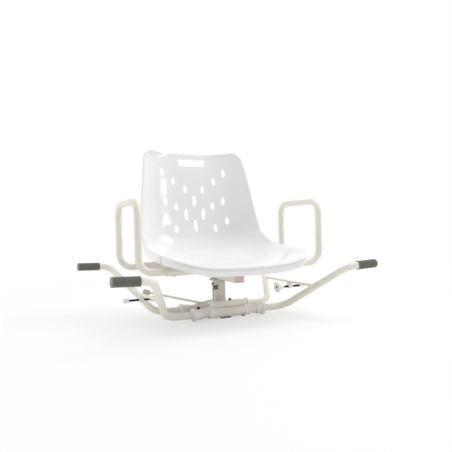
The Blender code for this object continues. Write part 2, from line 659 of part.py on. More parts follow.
def build_post(paint):
    """The post: a rectangular tube with a solid crown and the lock pin's bracket on its front face."""
    bottom = PLATE_TOP + GAP
    height = POST_TOP - bottom
    hollow_height = height - POST_CROWN + CUTTER_REACH
    block = box_mesh("post", (POST_WIDTH, POST_DEPTH, height), (0, 0, height / 2))
    hollow = box_mesh("hollow", (POST_WIDTH - 2 * POST_WALL, POST_DEPTH - 2 * POST_WALL, hollow_height),
                      (0, 0, height - POST_CROWN - hollow_height / 2))
    spindle_hole = turned_mesh("hole", rod_profile(SPINDLE_RADIUS + GAP, height - CUTTER_REACH,
                                                   height + CUTTER_REACH))
    guide, guide_holes = lock_guide()
    on_post = shift(PIN_X, PIN_Y - SWIVEL_Y, -bottom)
    post = shaped("post", block, [hollow, spindle_hole] + [moved(hole, on_post) for hole in guide_holes],
                  [moved(piece, on_post) for piece in guide])
    add("post", post, paint, location=(0, SWIVEL_Y, bottom))


def index_plate_mesh():
    """The round plate under the carrier bar, notched all round for the lock pin."""
    plate = turned_mesh("index", ring_profile(SPINDLE_RADIUS + GAP, INDEX_RADIUS, INDEX_BOTTOM, INDEX_TOP))
    pin_reach = math.hypot(PIN_X, PIN_Y - SWIVEL_Y)
    pin_angle = math.atan2(PIN_Y - SWIVEL_Y, PIN_X)
    notch_radius = PIN_RADIUS + PIN_PLAY
    notch = turned_mesh("notch", rod_profile(notch_radius, INDEX_BOTTOM - CUTTER_REACH,
                                             INDEX_TOP + CUTTER_REACH))
    mouth = box_mesh("mouth", (INDEX_RADIUS, 2 * notch_radius, 2 * CUTTER_REACH),
                     (INDEX_RADIUS / 2, 0, INDEX_BOTTOM))
    notches = []
    for step in range(INDEX_NOTCHES):
        angle = pin_angle + step * math.tau / INDEX_NOTCHES
        turn = Matrix.Rotation(angle, 4, "Z") @ shift(pin_reach, 0, 0)
        notches += [moved(notch, turn), moved(mouth, turn)]
    return shaped("index_plate", plate, notches)


def build_carrier(paint, beige, steel, swivel):
    """The index plate and the rectangular carrier bar with a plug at each end."""
    add("index_plate", index_plate_mesh(), steel, swivel)
    length = CARRIER_REAR_Y - CARRIER_FRONT_Y
    height = CARRIER_TOP - CARRIER_BOTTOM
    middle = Vector((0, (CARRIER_REAR_Y + CARRIER_FRONT_Y) / 2 - SWIVEL_Y,
                     (CARRIER_TOP + CARRIER_BOTTOM) / 2))
    bar = box_mesh("bar", (CARRIER_WIDTH, length, height), middle, SOFT_EDGE)
    inner_width = CARRIER_WIDTH - 2 * CARRIER_WALL
    inner_height = height - 2 * CARRIER_WALL
    hollow = box_mesh("hollow", (inner_width, 2 * length, inner_height), middle)
    bore = turned_mesh("bore", rod_profile(SPINDLE_RADIUS + GAP, INDEX_BOTTOM,
                                           CARRIER_BOTTOM + 2 * CARRIER_WALL))
    add("carrier_bar", shaped("carrier_bar", bar, [hollow, bore]), paint, swivel)
    for end, y, way in (("front", CARRIER_FRONT_Y, -1), ("rear", CARRIER_REAR_Y, 1)):
        name = f"carrier_{end}_plug"
        face = y - SWIVEL_Y + way * GAP
        cap = box_mesh("cap", (CARRIER_WIDTH, PLUG_CAP, height), (0, face + way * PLUG_CAP / 2, middle.z))
        stem = box_mesh("stem", (inner_width - 2 * GAP, PLUG_DEPTH, inner_height - 2 * GAP),
                        (0, face + way * (OVERLAP - PLUG_DEPTH / 2), middle.z))
        add(name, shaped(name, cap, additions=[stem]), beige, swivel)


def build_sockets(paint, brass, swivel):
    """The two socket tubes under the seat, and the screws below that hold the armrests."""
    tube = moved(turned_mesh("socket", ring_profile(SOCKET_BORE, SOCKET_RADIUS, -SOCKET_HALF, SOCKET_HALF)),
                 along_x())
    below = -2 * SOCKET_RADIUS
    drain = turned_mesh("drain", rod_profile(SOCKET_DRAIN_RADIUS, below, 0))
    screw_hole = turned_mesh("hole", rod_profile(REST_SCREW_RADIUS + SCREW_PLAY, below, 0))
    bolt_hole = turned_mesh("bolt_hole", rod_profile(SEAT_BOLT_RADIUS + SCREW_PLAY, below, -below))
    head_top = -SOCKET_RADIUS - GAP
    head_low = head_top - REST_SCREW_HEAD_HEIGHT
    screw = turned_mesh("screw", [
        (0, head_low), (REST_SCREW_HEAD_RADIUS, head_low), (REST_SCREW_HEAD_RADIUS, head_top),
        (REST_SCREW_RADIUS, head_top), (REST_SCREW_RADIUS, -SOCKET_BORE), (0, -SOCKET_BORE)])
    for end, y in (("front", FRONT_SOCKET_Y), ("rear", REAR_SOCKET_Y)):
        holes = []
        for side, sign in (("left", -1), ("right", 1)):
            holes.append(moved(drain, shift(sign * SOCKET_DRAIN_X, 0, 0)))
            holes.append(moved(screw_hole, shift(sign * SOCKET_SCREW_X, 0, 0)))
            holes.append(moved(bolt_hole, shift(sign * SEAT_BOLT_X, 0, 0)))
            add(f"{end}_{side}_armrest_screw", screw, brass, swivel,
                location=(sign * SOCKET_SCREW_X, y - SWIVEL_Y, SOCKET_Z))
        name = end + "_socket_tube"
        add(name, shaped(name, tube, holes), paint, swivel, location=(0, y - SWIVEL_Y, SOCKET_Z))


def smooth_through(values, positions):
    """Values between stations, on a curve that passes through each of them."""
    values = np.asarray(values, dtype=float)
    index = np.clip(np.floor(positions).astype(int), 0, len(values) - 2)
    share = (positions - index).reshape(-1, *([1] * (values.ndim - 1)))
    last = len(values) - 1
    before, here = values[np.maximum(index - 1, 0)], values[index]
    ahead, beyond = values[index + 1], values[np.minimum(index + 2, last)]
    rise, fall = (ahead - before) / 2, (beyond - here) / 2
    cubic = 2 * here - 2 * ahead + rise + fall
    square = 3 * ahead - 3 * here - 2 * rise - fall
    return ((cubic * share + square) * share + rise) * share + here


def shell_surface():
    """The sitter's side of the shell, as a grid of points, and the rim flange's depth at each row.

    Each row runs across the seat. It leaves the centre line and rises to the rim with the distance
    from the centre raised to CROWN_POWER. The rows by the top of the back stop short of the rim, for
    its round corners.
    """
    stations = smooth_through(SHELL_SECTIONS, np.linspace(0, len(SHELL_SECTIONS) - 1, SHELL_ROWS))
    even = np.linspace(-1, 1, SHELL_COLUMNS + 1)
    across = RIM_CROWDING * np.sin(even * math.pi / 2) + (1 - RIM_CROWDING) * even
    centre_y, centre_z, share, rim_y, rim_z, depth = stations.T[:, :, None]
    rounding = np.clip(1 - (rim_z[0] - rim_z) / BACK_CORNER_RADIUS, 0, 1)
    inset = BACK_CORNER_RADIUS * (1 - np.sqrt(1 - rounding ** 2))
    across = across * (1 - inset / (share * RIM_HALF_WIDTH))
    rise = np.abs(across) ** CROWN_POWER
    grid = np.stack([across * share * RIM_HALF_WIDTH,
                     centre_y + (rim_y - centre_y) * rise,
                     PAN_Z + centre_z + (rim_z - centre_z) * rise], axis=-1)
    return grid, stations[:, 5]


def shell_rim(grid, depths):
    """The rim as a closed loop, with the ways outwards and under the shell, and the flange's depth."""
    loop = np.concatenate([grid[0, :-1], grid[:-1, -1], grid[-1, :0:-1], grid[:0:-1, 0]])
    columns = grid.shape[1] - 1
    depth = np.concatenate([np.full(columns, depths[0]), depths[:-1],
                            np.full(columns, depths[-1]), depths[:0:-1]])
    centre = grid[:, grid.shape[1] // 2]
    run = np.gradient(centre, axis=0)
    under = np.stack([np.zeros(len(run)), -run[:, 2], run[:, 1]], axis=-1)
    under /= np.linalg.norm(under, axis=1, keepdims=True)
    under[-LIP_ROWS:] = under[-LIP_ROWS - 1]
    ways = np.concatenate([np.repeat(under[:1], columns, 0), under[:-1],
                           np.repeat(under[-1:], columns, 0), under[:0:-1]])
    along = np.roll(loop, -1, axis=0) - np.roll(loop, 1, axis=0)
    along /= np.linalg.norm(along, axis=1, keepdims=True)
    out = np.cross(along, ways)
    for _ in range(2):
        out = out + 0.5 * (np.roll(out, 1, axis=0) + np.roll(out, -1, axis=0))
    out /= np.linalg.norm(out, axis=1, keepdims=True)
    return loop, out, ways, depth


def shell_mesh(grid, depths):
    """The shell's crowned surface with its rolled rim flange, given its wall."""
    loop, out, ways, depth = shell_rim(grid, depths)
    offset = np.array([0, SWIVEL_Y, 0])
    bm = bmesh.new()
    verts = [[bm.verts.new(point - offset) for point in row] for row in grid]
    for upper, lower in zip(verts, verts[1:]):
        for a, b, c, d in zip(upper, upper[1:], lower[1:], lower):
            bm.faces.new((a, d, c, b))
    rim = (verts[0][:-1] + [row[-1] for row in verts[:-1]]
           + verts[-1][:0:-1] + [row[0] for row in verts[:0:-1]])
    for outward, down in FLANGE_STEPS:
        ring = [bm.verts.new(point + o * FLANGE_OUT * outward + w * d * down - offset)
                for point, o, w, d in zip(loop, out, ways, depth)]
        for index, vert in enumerate(rim):
            after = (index + 1) % len(rim)
            bm.faces.new((rim[after], ring[after], ring[index], vert))
        rim = ring
    bmesh.ops.recalc_face_normals(bm, faces=bm.faces)
    if sum(face.normal.z for face in bm.faces) < 0:
        bmesh.ops.reverse_faces(bm, faces=bm.faces)
    sheet = bpy.data.objects.new("sheet", mesh_from("sheet", bm))
    solidify = sheet.modifiers.new("Wall", "SOLIDIFY")
    solidify.thickness = SHELL_WALL
    solidify.offset = -1
    return evaluated_mesh("shell", sheet)


def seat_bolts(grid, steel, swivel):
    """The four bolts up through the socket tubes, with the bosses that they end in and their holes."""
    boss_low = SOCKET_Z + SOCKET_RADIUS + GAP
    head_top = SOCKET_Z - SOCKET_RADIUS - GAP
    head_low = head_top - SEAT_BOLT_HEAD_HEIGHT
    bosses = []
    cutters = []
    for end, y in (("front", FRONT_SOCKET_Y), ("rear", REAR_SOCKET_Y)):
        for side, sign in (("left", -1), ("right", 1)):
            x = sign * SEAT_BOLT_X
            pan = pan_height(grid, x, y)
            hole_top = pan - SEAT_SKIN
            shank_top = hole_top - GAP
            to_place = shift(x, y - SWIVEL_Y, 0)
            boss = turned_mesh("boss", rod_profile(SEAT_BOSS_RADIUS, boss_low, pan))
            ahead = pan_height(grid, x, y - SEAT_BOSS_RADIUS)
            slope = (pan - ahead) / SEAT_BOSS_RADIUS
            for vert in boss.vertices:
                if vert.co.z > boss_low + GAP:
                    vert.co.z = pan - SHELL_WALL + SEAT_BOSS_SINK + slope * vert.co.y
            bosses.append(moved(boss, to_place))
            hole = turned_mesh("hole", rod_profile(SEAT_BOLT_RADIUS + SCREW_PLAY, head_low, hole_top))
            cutters.append(moved(hole, to_place))
            bolt = turned_mesh("bolt", [
                (0, head_low), (SEAT_BOLT_HEAD_RADIUS - FINE_EDGE, head_low),
                (SEAT_BOLT_HEAD_RADIUS, head_low + FINE_EDGE), (SEAT_BOLT_HEAD_RADIUS, head_top),
                (SEAT_BOLT_RADIUS, head_top), (SEAT_BOLT_RADIUS, shank_top), (0, shank_top)])
            add(f"{end}_{side}_seat_bolt", bolt, steel, swivel, location=(x, y - SWIVEL_Y, 0))
    return bosses, cutters


def back_cutters():
    """The cutters for the back's oval drain holes and its handle slot."""
    oval = turned_mesh("oval", rod_profile(DRAIN_WIDTH / 2, -BACK_CUT_REACH, BACK_CUT_REACH),
                       steps=DRAIN_STEPS)
    upright = Matrix.Rotation(math.pi / 2, 4, "X")
    cutters = []
    for x, z, height in DRAINS:
        stretch = Matrix.Diagonal((1, height / DRAIN_WIDTH, 1, 1))
        for sign in (-1, 1) if x else (1,):
            cutters.append(moved(oval, shift(sign * x, BACK_CUT_Y - SWIVEL_Y, z) @ upright @ stretch))
    slot_size = (2 * SLOT_HALF_WIDTH, BACK_CUT_REACH, SLOT_HEIGHT)
    slot_centre = (0, BACK_CUT_Y - SWIVEL_Y, SLOT_TOP_Z - SLOT_HEIGHT / 2)
    return cutters + [box_mesh("slot", slot_size, slot_centre, SLOT_HEIGHT * SLOT_ROUNDING)]


def build_shell(white, swivel, steel):
    """The bucket seat: shell with bosses, drain holes and handle slot, and its four bolts."""
    grid, depths = shell_surface()
    bosses, cutters = seat_bolts(grid, steel, swivel)
    shell = shaped("seat_shell", shell_mesh(grid, depths), cutters + back_cutters(), bosses)
    add("seat_shell", shell, white, swivel)


def pan_height(grid, x, y):
    """The height of the pan's surface above a point of the floor plan."""
    pan = grid[len(grid) // 3:].reshape(-1, 3)
    nearest = pan[np.argsort(np.hypot(pan[:, 0] - x, pan[:, 1] - y))[:3]]
    weights = 1 / (np.hypot(nearest[:, 0] - x, nearest[:, 1] - y) + 1e-6)
    return float((nearest[:, 2] * weights).sum() / weights.sum())


def build_armrests(paint, swivel):
    """A bent tube hoop on each side, with its two ends in the socket tubes."""
    for side, sign in (("left", -1), ("right", 1)):
        front = FRONT_SOCKET_Y - SWIVEL_Y
        rear = REAR_SOCKET_Y - SWIVEL_Y
        corners = [(sign * REST_INNER_END, front, SOCKET_Z), (sign * REST_X, front, SOCKET_Z),
                   (sign * REST_X, front, REST_TOP_Z), (sign * REST_X, rear, REST_TOP_Z),
                   (sign * REST_X, rear, SOCKET_Z), (sign * REST_INNER_END, rear, SOCKET_Z)]
        hoop = tube_object(side + "_armrest", rounded_route(corners, [REST_BEND] * 4), REST_RADIUS, REST_WALL)
        place(hoop, paint, swivel)


def build_lever(paint, beige, steel):
    """The release lever on its pivot: rod, tab and eye in one, its handle, and the pivot bolt."""
    axis = empty("lever_axis", LEVER_PIVOT, (0, 0, LEVER_TURN))
    eye_z = LEVER_EYE_Z - LEVER_PIVOT.z
    low = Vector((LEVER_LOW_REACH, 0, LEVER_LOW_Z - LEVER_PIVOT.z))
    tip = Vector((LEVER_END_REACH, 0, LEVER_END_Z - LEVER_PIVOT.z))
    corners = [(LEVER_EYE_REACH - LEVER_EYE_RADIUS + OVERLAP, 0, eye_z), low, tip]
    rod = evaluated_mesh("rod", tube_object("rod", rounded_route(corners, [LEVER_BEND]), LEVER_RADIUS,
                                            resolution=LEVER_RESOLUTION))
    half_eye = LEVER_EYE_THICKNESS / 2
    eye = turned_mesh("eye", rod_profile(LEVER_EYE_RADIUS, -half_eye, half_eye))
    eye_hole = turned_mesh("eye_hole", rod_profile(LEVER_EYE_HOLE, -CUTTER_REACH, CUTTER_REACH))
    eye_place = shift(LEVER_EYE_REACH, 0, eye_z)
    tipped = Matrix.Rotation(math.pi / 2, 4, "X")
    half_tab = LEVER_TAB_THICKNESS / 2
    disc = moved(turned_mesh("disc", rod_profile(LEVER_TAB_RADIUS, -half_tab, half_tab)), tipped)
    web_height = low.z + LEVER_RADIUS / 2 - LEVER_WEB_LOW
    web = box_mesh("web", (LEVER_WEB_WIDTH, LEVER_WEB_THICKNESS, web_height),
                   (0, 0, LEVER_WEB_LOW + web_height / 2))
    bolt_hole = turned_mesh("hole", rod_profile(BOLT_RADIUS + GAP, -CUTTER_REACH, CUTTER_REACH))
    lever = shaped("lever_rod", rod, [moved(eye_hole, eye_place), moved(bolt_hole, tipped)],
                   [moved(eye, eye_place), disc, web])
    add("lever_rod", lever, paint, axis)

    run = (tip - low).normalized()
    slope = math.atan2(run.z, -run.x)
    block = box_mesh("handle", (HANDLE_LENGTH, HANDLE_WIDTH, HANDLE_HEIGHT), (-HANDLE_LENGTH / 2, 0, 0),
                     HANDLE_EDGE)
    bore_depth = HANDLE_LENGTH - HANDLE_END_WALL
    bore = turned_mesh("bore", rod_profile(LEVER_RADIUS + GAP, -CUTTER_REACH, bore_depth))
    handle = shaped("lever_handle", block, [moved(bore, along_x(-1))])
    mouth = tip - run * (bore_depth - GAP)
    add("lever_handle", handle, beige, axis, location=mouth, rotation=(0, slope, 0))

    outer = half_tab + EAR_GAP + EAR_THICKNESS + GAP
    tail = -outer - LEVER_BOLT_TAIL
    bolt = turned_mesh("bolt", [
        (0, tail), (BOLT_RADIUS, tail), (BOLT_RADIUS, outer), (BOLT_HEAD_RADIUS, outer),
        (BOLT_HEAD_RADIUS, outer + BOLT_HEAD_HEIGHT), (0, outer + BOLT_HEAD_HEIGHT)])
    add("lever_bolt", moved(bolt, tipped), steel, location=LEVER_PIVOT, rotation=(0, 0, LEVER_TURN))


def link_place():
    """Where the link rod stands in the floor plan: in the lever's eye, off its centre.

    The eye moves outwards as the lever tips, and its centre passes the rod on the way.
    """
    turn = Matrix.Rotation(LEVER_TURN, 4, "Z")
    return LEVER_PIVOT + turn @ Vector((LINK_REACH, 0, 0))


def build_lock(steel, dark_steel):
    """The lock pin with its yoke, the link rod with its nuts, and the spring."""
    link = link_place()
    axis = empty("lock_axis", (PIN_X, PIN_Y, 0))
    pin = turned_mesh("pin", rod_profile(PIN_RADIUS, GUIDE_LOW_Z - PIN_TAIL, PIN_TOP, PIN_CHAMFER))
    offset = Vector((link.x - PIN_X, link.y - PIN_Y, 0))
    yoke = box_mesh("yoke", (abs(offset.x) + 2 * NUT_RADIUS + OVERLAP, YOKE_WIDTH, YOKE_THICKNESS),
                    (offset.x / 2, offset.y / 2, YOKE_TOP - YOKE_THICKNESS / 2))
    link_hole = turned_mesh("hole", rod_profile(LINK_RADIUS + GAP, YOKE_TOP - CUTTER_REACH,
                                                YOKE_TOP + CUTTER_REACH))
    lock_pin = shaped("lock_pin", pin, [moved(link_hole, shift(*offset))], [yoke])
    add("lock_pin", lock_pin, steel, axis)

    eye_low = LEVER_EYE_Z - LEVER_EYE_THICKNESS / 2
    low_nut_top = eye_low - LINK_SLACK
    low_nut_bottom = low_nut_top - NUT_HEIGHT
    high_nut_bottom = YOKE_TOP + GAP
    low_nut = hex_mesh("nut", LOW_NUT_RADIUS, low_nut_bottom, low_nut_top)
    high_nut = hex_mesh("nut", NUT_RADIUS, high_nut_bottom, high_nut_bottom + NUT_HEIGHT)
    rod = turned_mesh("link", rod_profile(LINK_RADIUS, low_nut_bottom - OVERLAP,
                                          high_nut_bottom + NUT_HEIGHT + OVERLAP))
    add("link_rod", shaped("link_rod", rod, additions=[low_nut, high_nut]), dark_steel, axis, location=offset)

    low = GUIDE_LOW_Z + GUIDE_THICKNESS + GAP + SPRING_WIRE
    high = YOKE_BOTTOM - GAP - SPRING_WIRE
    turns = np.linspace(0, SPRING_TURNS * math.tau, SPRING_TURNS * SPRING_STEPS + 1)
    rise = (high - low) / turns[-1]
    route = [Vector((SPRING_RADIUS * math.cos(turn), SPRING_RADIUS * math.sin(turn), low + rise * turn))
             for turn in turns]
    pitch = (high - low) / SPRING_TURNS
    print("least gap between the spring's curls, mm:", round((pitch - 2 * SPRING_WIRE) * 1000, 2))
    spring = tube_object("lock_spring", route, SPRING_WIRE, resolution=1)
    place(spring, dark_steel, location=(PIN_X, PIN_Y, 0))


def build():
    for obj in list(bpy.data.objects):
        bpy.data.objects.remove(obj)
    paint = make_material("cream_powder_coat", (0.93, 0.92, 0.88), 0.35)
    white = make_material("white_moulded_seat", (0.95, 0.95, 0.95), 0.2)
    plastic = make_material("white_plastic", (0.94, 0.94, 0.92), 0.4)
    nylon = make_material("natural_nylon", (0.90, 0.89, 0.85), 0.45)
    rubber = make_material("grey_grip_rubber", (0.36, 0.36, 0.36), 0.8)
    beige = make_material("beige_plastic", (0.85, 0.76, 0.70), 0.5)
    black_steel = make_material("black_threaded_steel", (0.12, 0.11, 0.11), 0.45, 0.8)
    dark_steel = make_material("dark_steel", (0.22, 0.21, 0.20), 0.4, 0.9)
    steel = make_material("zinc_plated_steel", (0.72, 0.72, 0.71), 0.3, 1.0)
    brass = make_material("yellow_zinc_plate", (0.80, 0.62, 0.35), 0.35, 1.0)
    build_beams(paint, plastic)
    build_base(paint, plastic, steel, dark_steel, brass, nylon)
    for side, sign in (("left", -1), ("right", 1)):
        build_side(side, sign, paint, plastic, black_steel, rubber)
    swivel = empty("seat_swivel_axis", (0, SWIVEL_Y, 0))
    build_carrier(paint, beige, steel, swivel)
    build_sockets(paint, brass, swivel)
    build_shell(white, swivel, steel)
    build_armrests(paint, swivel)
    build_lever(paint, beige, dark_steel)
    build_lock(steel, dark_steel)


build()
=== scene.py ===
"""Swivel bath chair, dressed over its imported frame: a glossy moulded bucket seat on powder-coated
steel tube, with ribbed rubber grips, moulded knobs and the small steel pieces of the swivel lock.

Metres, +Z up. The sitter faces -Y, and the floor is at Z = 0.
"""
import math

import bmesh
import bpy
import numpy as np
from mathutils import Matrix, Vector


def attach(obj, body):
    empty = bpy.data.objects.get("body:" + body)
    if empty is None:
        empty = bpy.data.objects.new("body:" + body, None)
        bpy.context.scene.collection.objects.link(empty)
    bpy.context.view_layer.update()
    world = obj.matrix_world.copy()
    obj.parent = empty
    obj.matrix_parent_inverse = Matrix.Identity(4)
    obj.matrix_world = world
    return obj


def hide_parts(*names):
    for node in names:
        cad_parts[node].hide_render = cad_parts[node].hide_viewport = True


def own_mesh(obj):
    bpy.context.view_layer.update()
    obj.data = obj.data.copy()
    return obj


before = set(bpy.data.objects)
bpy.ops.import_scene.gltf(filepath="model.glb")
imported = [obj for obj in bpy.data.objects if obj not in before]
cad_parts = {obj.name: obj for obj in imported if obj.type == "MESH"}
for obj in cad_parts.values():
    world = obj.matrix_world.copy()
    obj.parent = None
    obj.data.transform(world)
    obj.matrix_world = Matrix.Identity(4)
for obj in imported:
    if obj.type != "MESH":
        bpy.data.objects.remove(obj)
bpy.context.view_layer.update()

bl_info = {
    "name": "Swivel bath chair",
    "version": (1, 0, 0),
    "blender": (4, 5, 0),
    "location": "View3D > Sidebar > Bath chair",
    "description": "Builds the visible pieces, the finishes and the studio of a swivel bath chair",
    "category": "Object",
}

# Sizes that the solids have, so that each piece stands where its solid stands
GAP = 0.0003
BEAM_Y = 0.050
BEAM_Z = 0.0175
ARM_RADIUS = 0.010
ARM_WALL = 0.0015
ARM_BORE = 0.0103
INNER_TUBE_RADIUS = 0.012
INNER_TUBE_HALF = 0.106
TUBE_SEAT = 0.0123
SLEEVE_RADIUS = 0.014
SLEEVE_HALF = 0.047
COLLAR_RADIUS = 0.015
COLLAR_LENGTH = 0.0175
FERRULE_RADIUS = 0.0145
FERRULE_START = 0.088
FERRULE_LENGTH = 0.026
FLANGE_RADIUS = 0.018
FLANGE_LENGTH = 0.008
ARM_INNER_END = 0.030
ARM_CORNER_X = 0.190
ARM_RISE = (0.090, 0.193, 0.127)
ARM_BENDS = (0.050, 0.045)
GRIP_TILT = math.radians(2.2)
GRIP_START_X = 0.311
GRIP_END_X = 0.3779
GRIP_RADIUS = 0.012
GRIP_END_WALL = 0.006
GRIP_BAND = 0.007
GRIP_DOME = 0.0028
BRACE_RADIUS = 0.004
BRACE_SHARE = 0.518
BRACE_MIDDLE = (0.244, 0.0, 0.081)
BRACE_BEND = 0.25
BOSS_SIZE = (0.014, 0.016, 0.018)
BOSS_TOP = 0.079
ROD_Z = 0.0665
ROD_RADIUS = 0.00325
ROD_ENDS = (0.1935, 0.2905)
KNOB_RADIUS = 0.0165
KNOB_FACE_X = 0.193
KNOB_END_X = 0.218
KNOB_RECESS = 0.0008
KNOB_RIM = 0.007
KNOB_SHOULDER = 0.004
KNOB_HUB_RADIUS = 0.008
KNOB_LOBES = 12
KNOB_LOBES_FROM = 0.0095
PAD_RADIUS = 0.0062
PAD_ENDS = (0.279, 0.295)
PLATE_TOP = 0.020
SWIVEL_Y = 0.015
POST_SIZE = (0.035, 0.020)
POST_BOTTOM = 0.0203
POST_TOP = 0.1005
BAR_CENTRE = (0.0, -0.035, 0.03905)
BAR_SIZE = (0.090, 0.034, 0.0145)
PLUG_CAP = 0.002
BAR_BOLT = (0.015, -0.028)
BAR_TOP = 0.0463
BEARING_RADIUS = 0.014
INDEX_RADIUS = 0.029
INDEX_NOTCHES = 12
NOTCH_PLAY = 0.0004
INDEX_LEVELS = (0.1033, 0.1073)
SPINDLE_RADIUS = 0.005
CARRIER_SIZE = (0.028, 0.240, 0.0301)
CARRIER_CENTRE = (0.0, -0.004, 0.12265)
SOCKET_RADIUS = 0.012
SOCKET_BORE = 0.0098
SOCKET_HALF = 0.206
SOCKET_Z = 0.150
SOCKET_YS = {"front": -0.111, "rear": 0.100}
SOCKET_HOLE_DEPTH = 0.03
SOCKET_DRAIN_X = 0.140
SOCKET_DRAIN_RADIUS = 0.0022
REST_SCREW_X = 0.184
REST_SCREW_HOLE = 0.0028
REST_RADIUS = 0.0095
REST_WALL = 0.0015
REST_X = 0.279
REST_TOP_Z = 0.334
REST_INNER_END = 0.152
REST_BEND = 0.038
LEVER_PIVOT = (-0.0715, 0.0076, 0.0265)
LEVER_TURN = math.radians(-15)
LEVER_RADIUS = 0.003
LEVER_BEND = 0.040
LEVER_EYE = (0.0434, 0, 0.0195)
LEVER_EYE_RADIUS = 0.0065
LEVER_EYE_HOLE = 0.0040
LEVER_EYE_THICKNESS = 0.004
LEVER_LOW = (0.010, 0, 0.0135)
LEVER_TIP = (-0.156, 0, 0.0545)
LEVER_TAB_RADIUS = 0.0055
LEVER_TAB_THICKNESS = 0.003
LEVER_WEB_WIDTH = 0.0088
HANDLE_SIZE = (0.020, 0.014, 0.015)
HANDLE_END_WALL = 0.003
EAR_OUTER = 0.0041
BOLT_SHANK_RADIUS = 0.0025
BOLT_HEAD_RADIUS = 0.0045
BOLT_HEAD_HEIGHT = 0.0035
PIN_AT = (-0.017, -0.004)
PIN_RADIUS = 0.003
PIN_LEVELS = (0.068, 0.107)
LINK_REACH = 0.045
LINK_RADIUS = 0.0019
LINK_LEVELS = (0.0384, 0.099)
LOW_NUT = (0.0050, 0.0394, 0.0429)
HIGH_NUT = (0.0035, 0.0945, 0.0980)
YOKE_LEVELS = (0.0912, 0.0942)
YOKE_WIDTH = 0.010
GUIDE_LEVELS = (0.074, 0.0945)
GUIDE_SIZE = (0.014, 0.015, 0.003)
SPRING_RADIUS = 0.0047
SPRING_WIRE = 0.0007
SPRING_TURNS = 5
SPRING_LEVELS = (0.0780, 0.0902)
FLANGE_OUT = 0.004
RIM_HALF_WIDTH = 0.217 - FLANGE_OUT
SHELL_WALL = 0.0035
PAN_Z = 0.1675
CROWN_POWER = 3.3
SEAT_BOLT_X = 0.061
SEAT_BOSS_FOOT = 0.1623
SEAT_BOSS_TOPS = {"front": 0.1652, "rear": 0.1752}
BACK_Y = 0.2
CUT_REACH = 0.1
BACK_CORNER_RADIUS = 0.013
SLOT_HALF_WIDTH = 0.050
SLOT_LEVELS = (0.468, 0.492)
SLOT_TAPER = 0.003
SLOT_CORNERS = (0.006, 0.006, 0.014, 0.014)
DRAIN_WIDTH = 0.0145

# Cross-sections of the seat from the top of the back to the front lip: the Y and height above the
# pan of the centre line, the rim's half-width as a share of RIM_HALF_WIDTH, the rim's Y and height,
# and the rim flange's depth
SHELL_SECTIONS = (
    (0.2215, 0.3410, 0.705, 0.1900, 0.3500, 0.008),
    (0.2180, 0.3250, 0.800, 0.1880, 0.3330, 0.009),
    (0.2090, 0.2860, 0.828, 0.1705, 0.2935, 0.010),
    (0.2000, 0.2275, 0.872, 0.1560, 0.2295, 0.012),
    (0.1965, 0.1660, 0.912, 0.1440, 0.1680, 0.014),
    (0.1920, 0.1150, 0.932, 0.1290, 0.1180, 0.018),
    (0.1800, 0.0740, 0.942, 0.1120, 0.0850, 0.022),
    (0.1560, 0.0400, 0.955, 0.0920, 0.0640, 0.025),
    (0.1170, 0.0160, 0.972, 0.0690, 0.0500, 0.027),
    (0.0600, 0.0045, 0.988, 0.0330, 0.0420, 0.027),
    (0.0000, 0.0000, 0.997, -0.0100, 0.0350, 0.027),
    (-0.0800, -0.0005, 1.000, -0.0700, 0.0275, 0.026),
    (-0.1350, -0.0010, 0.990, -0.1170, 0.0235, 0.024),
    (-0.1720, -0.0030, 0.960, -0.1530, 0.0180, 0.022),
    (-0.1890, -0.0060, 0.890, -0.1790, 0.0110, 0.0215),
    (-0.1965, -0.0100, 0.780, -0.1915, 0.0045, 0.0230),
)
# The drain holes of the back: X, height of the centre, and length
DRAINS = (
    (0.110, 0.447, 0.027), (0.073, 0.418, 0.027), (0.031, 0.390, 0.027), (0.103, 0.350, 0.027),
    (0.065, 0.333, 0.027), (0.031, 0.307, 0.042), (0.000, 0.350, 0.042), (0.113, 0.282, 0.027),
    (0.070, 0.258, 0.027), (0.000, 0.268, 0.042),
)

# Detail of the look alone: under each beam a grey rubber pad, painted shade that darkens the gap
# where the sleeve's contact shadow falls, and a screw; the apron's slits; and the groove under the
# lip, whose level, half-height and the run to the apron are shares of the flange's depth
SHADE_PAD_LIFT = 0.0004
SHADE_PAD_SIZE = (0.031, 0.012, 0.0041)
SHADE_PAD_X = -0.0105
FOOT_SCREW = (0.0055, 0.0008, 0.0044)
FOOT_SCREW_X = 0.0475
SLIT_AT = (0.222, -0.098, 0.1735)
SLIT_LENGTH = 0.030
SLIT_HEIGHT = 0.032
GROOVE_LEVEL = 0.24
GROOVE_SPREAD = 0.11
APRON_RUN = 0.10
INNER_SINK_SHARE = 0.6
GROOVE_FADE_Y = (-0.148, 0.035)
ROLL_DROP = 0.004
FRONT_CORNERS_Y = (-0.120, 0.04)
RIPPLE_PITCH = 0.0016
TRIM_WELD_HALF = 0.0125
TRIM_WELD_Z = 0.1386
TRIM_WELD_OFF = 0.0042

# Fineness
AROUND = 40
AROUND_SMALL = 24
BEAD_STEPS = 10
BEND_STEPS = 14
EASE_STEPS = 3
KNOB_STEPS = 144
NOTCH_STEPS = 17
SPRING_STEPS = 36
TRIM_WELD_STEPS = 40
POST_WELD_STEPS = 160
THREAD_ROWS = 6
SEAT_ROWS = 150
SEAT_COLUMNS = 132
SEAT_PASSES = 30
SOFT_PASSES = 10
SOFT_ROWS = 4
LIP_PART = 9
ROLL_STEPS = 9
DROP_STEPS = 27
RIM_CROWDING = 0.6
RIM_PASSES = 24
FRONT_PASSES = 60
FRONT_REACH = 24
SHARP_ANGLE = math.radians(38)

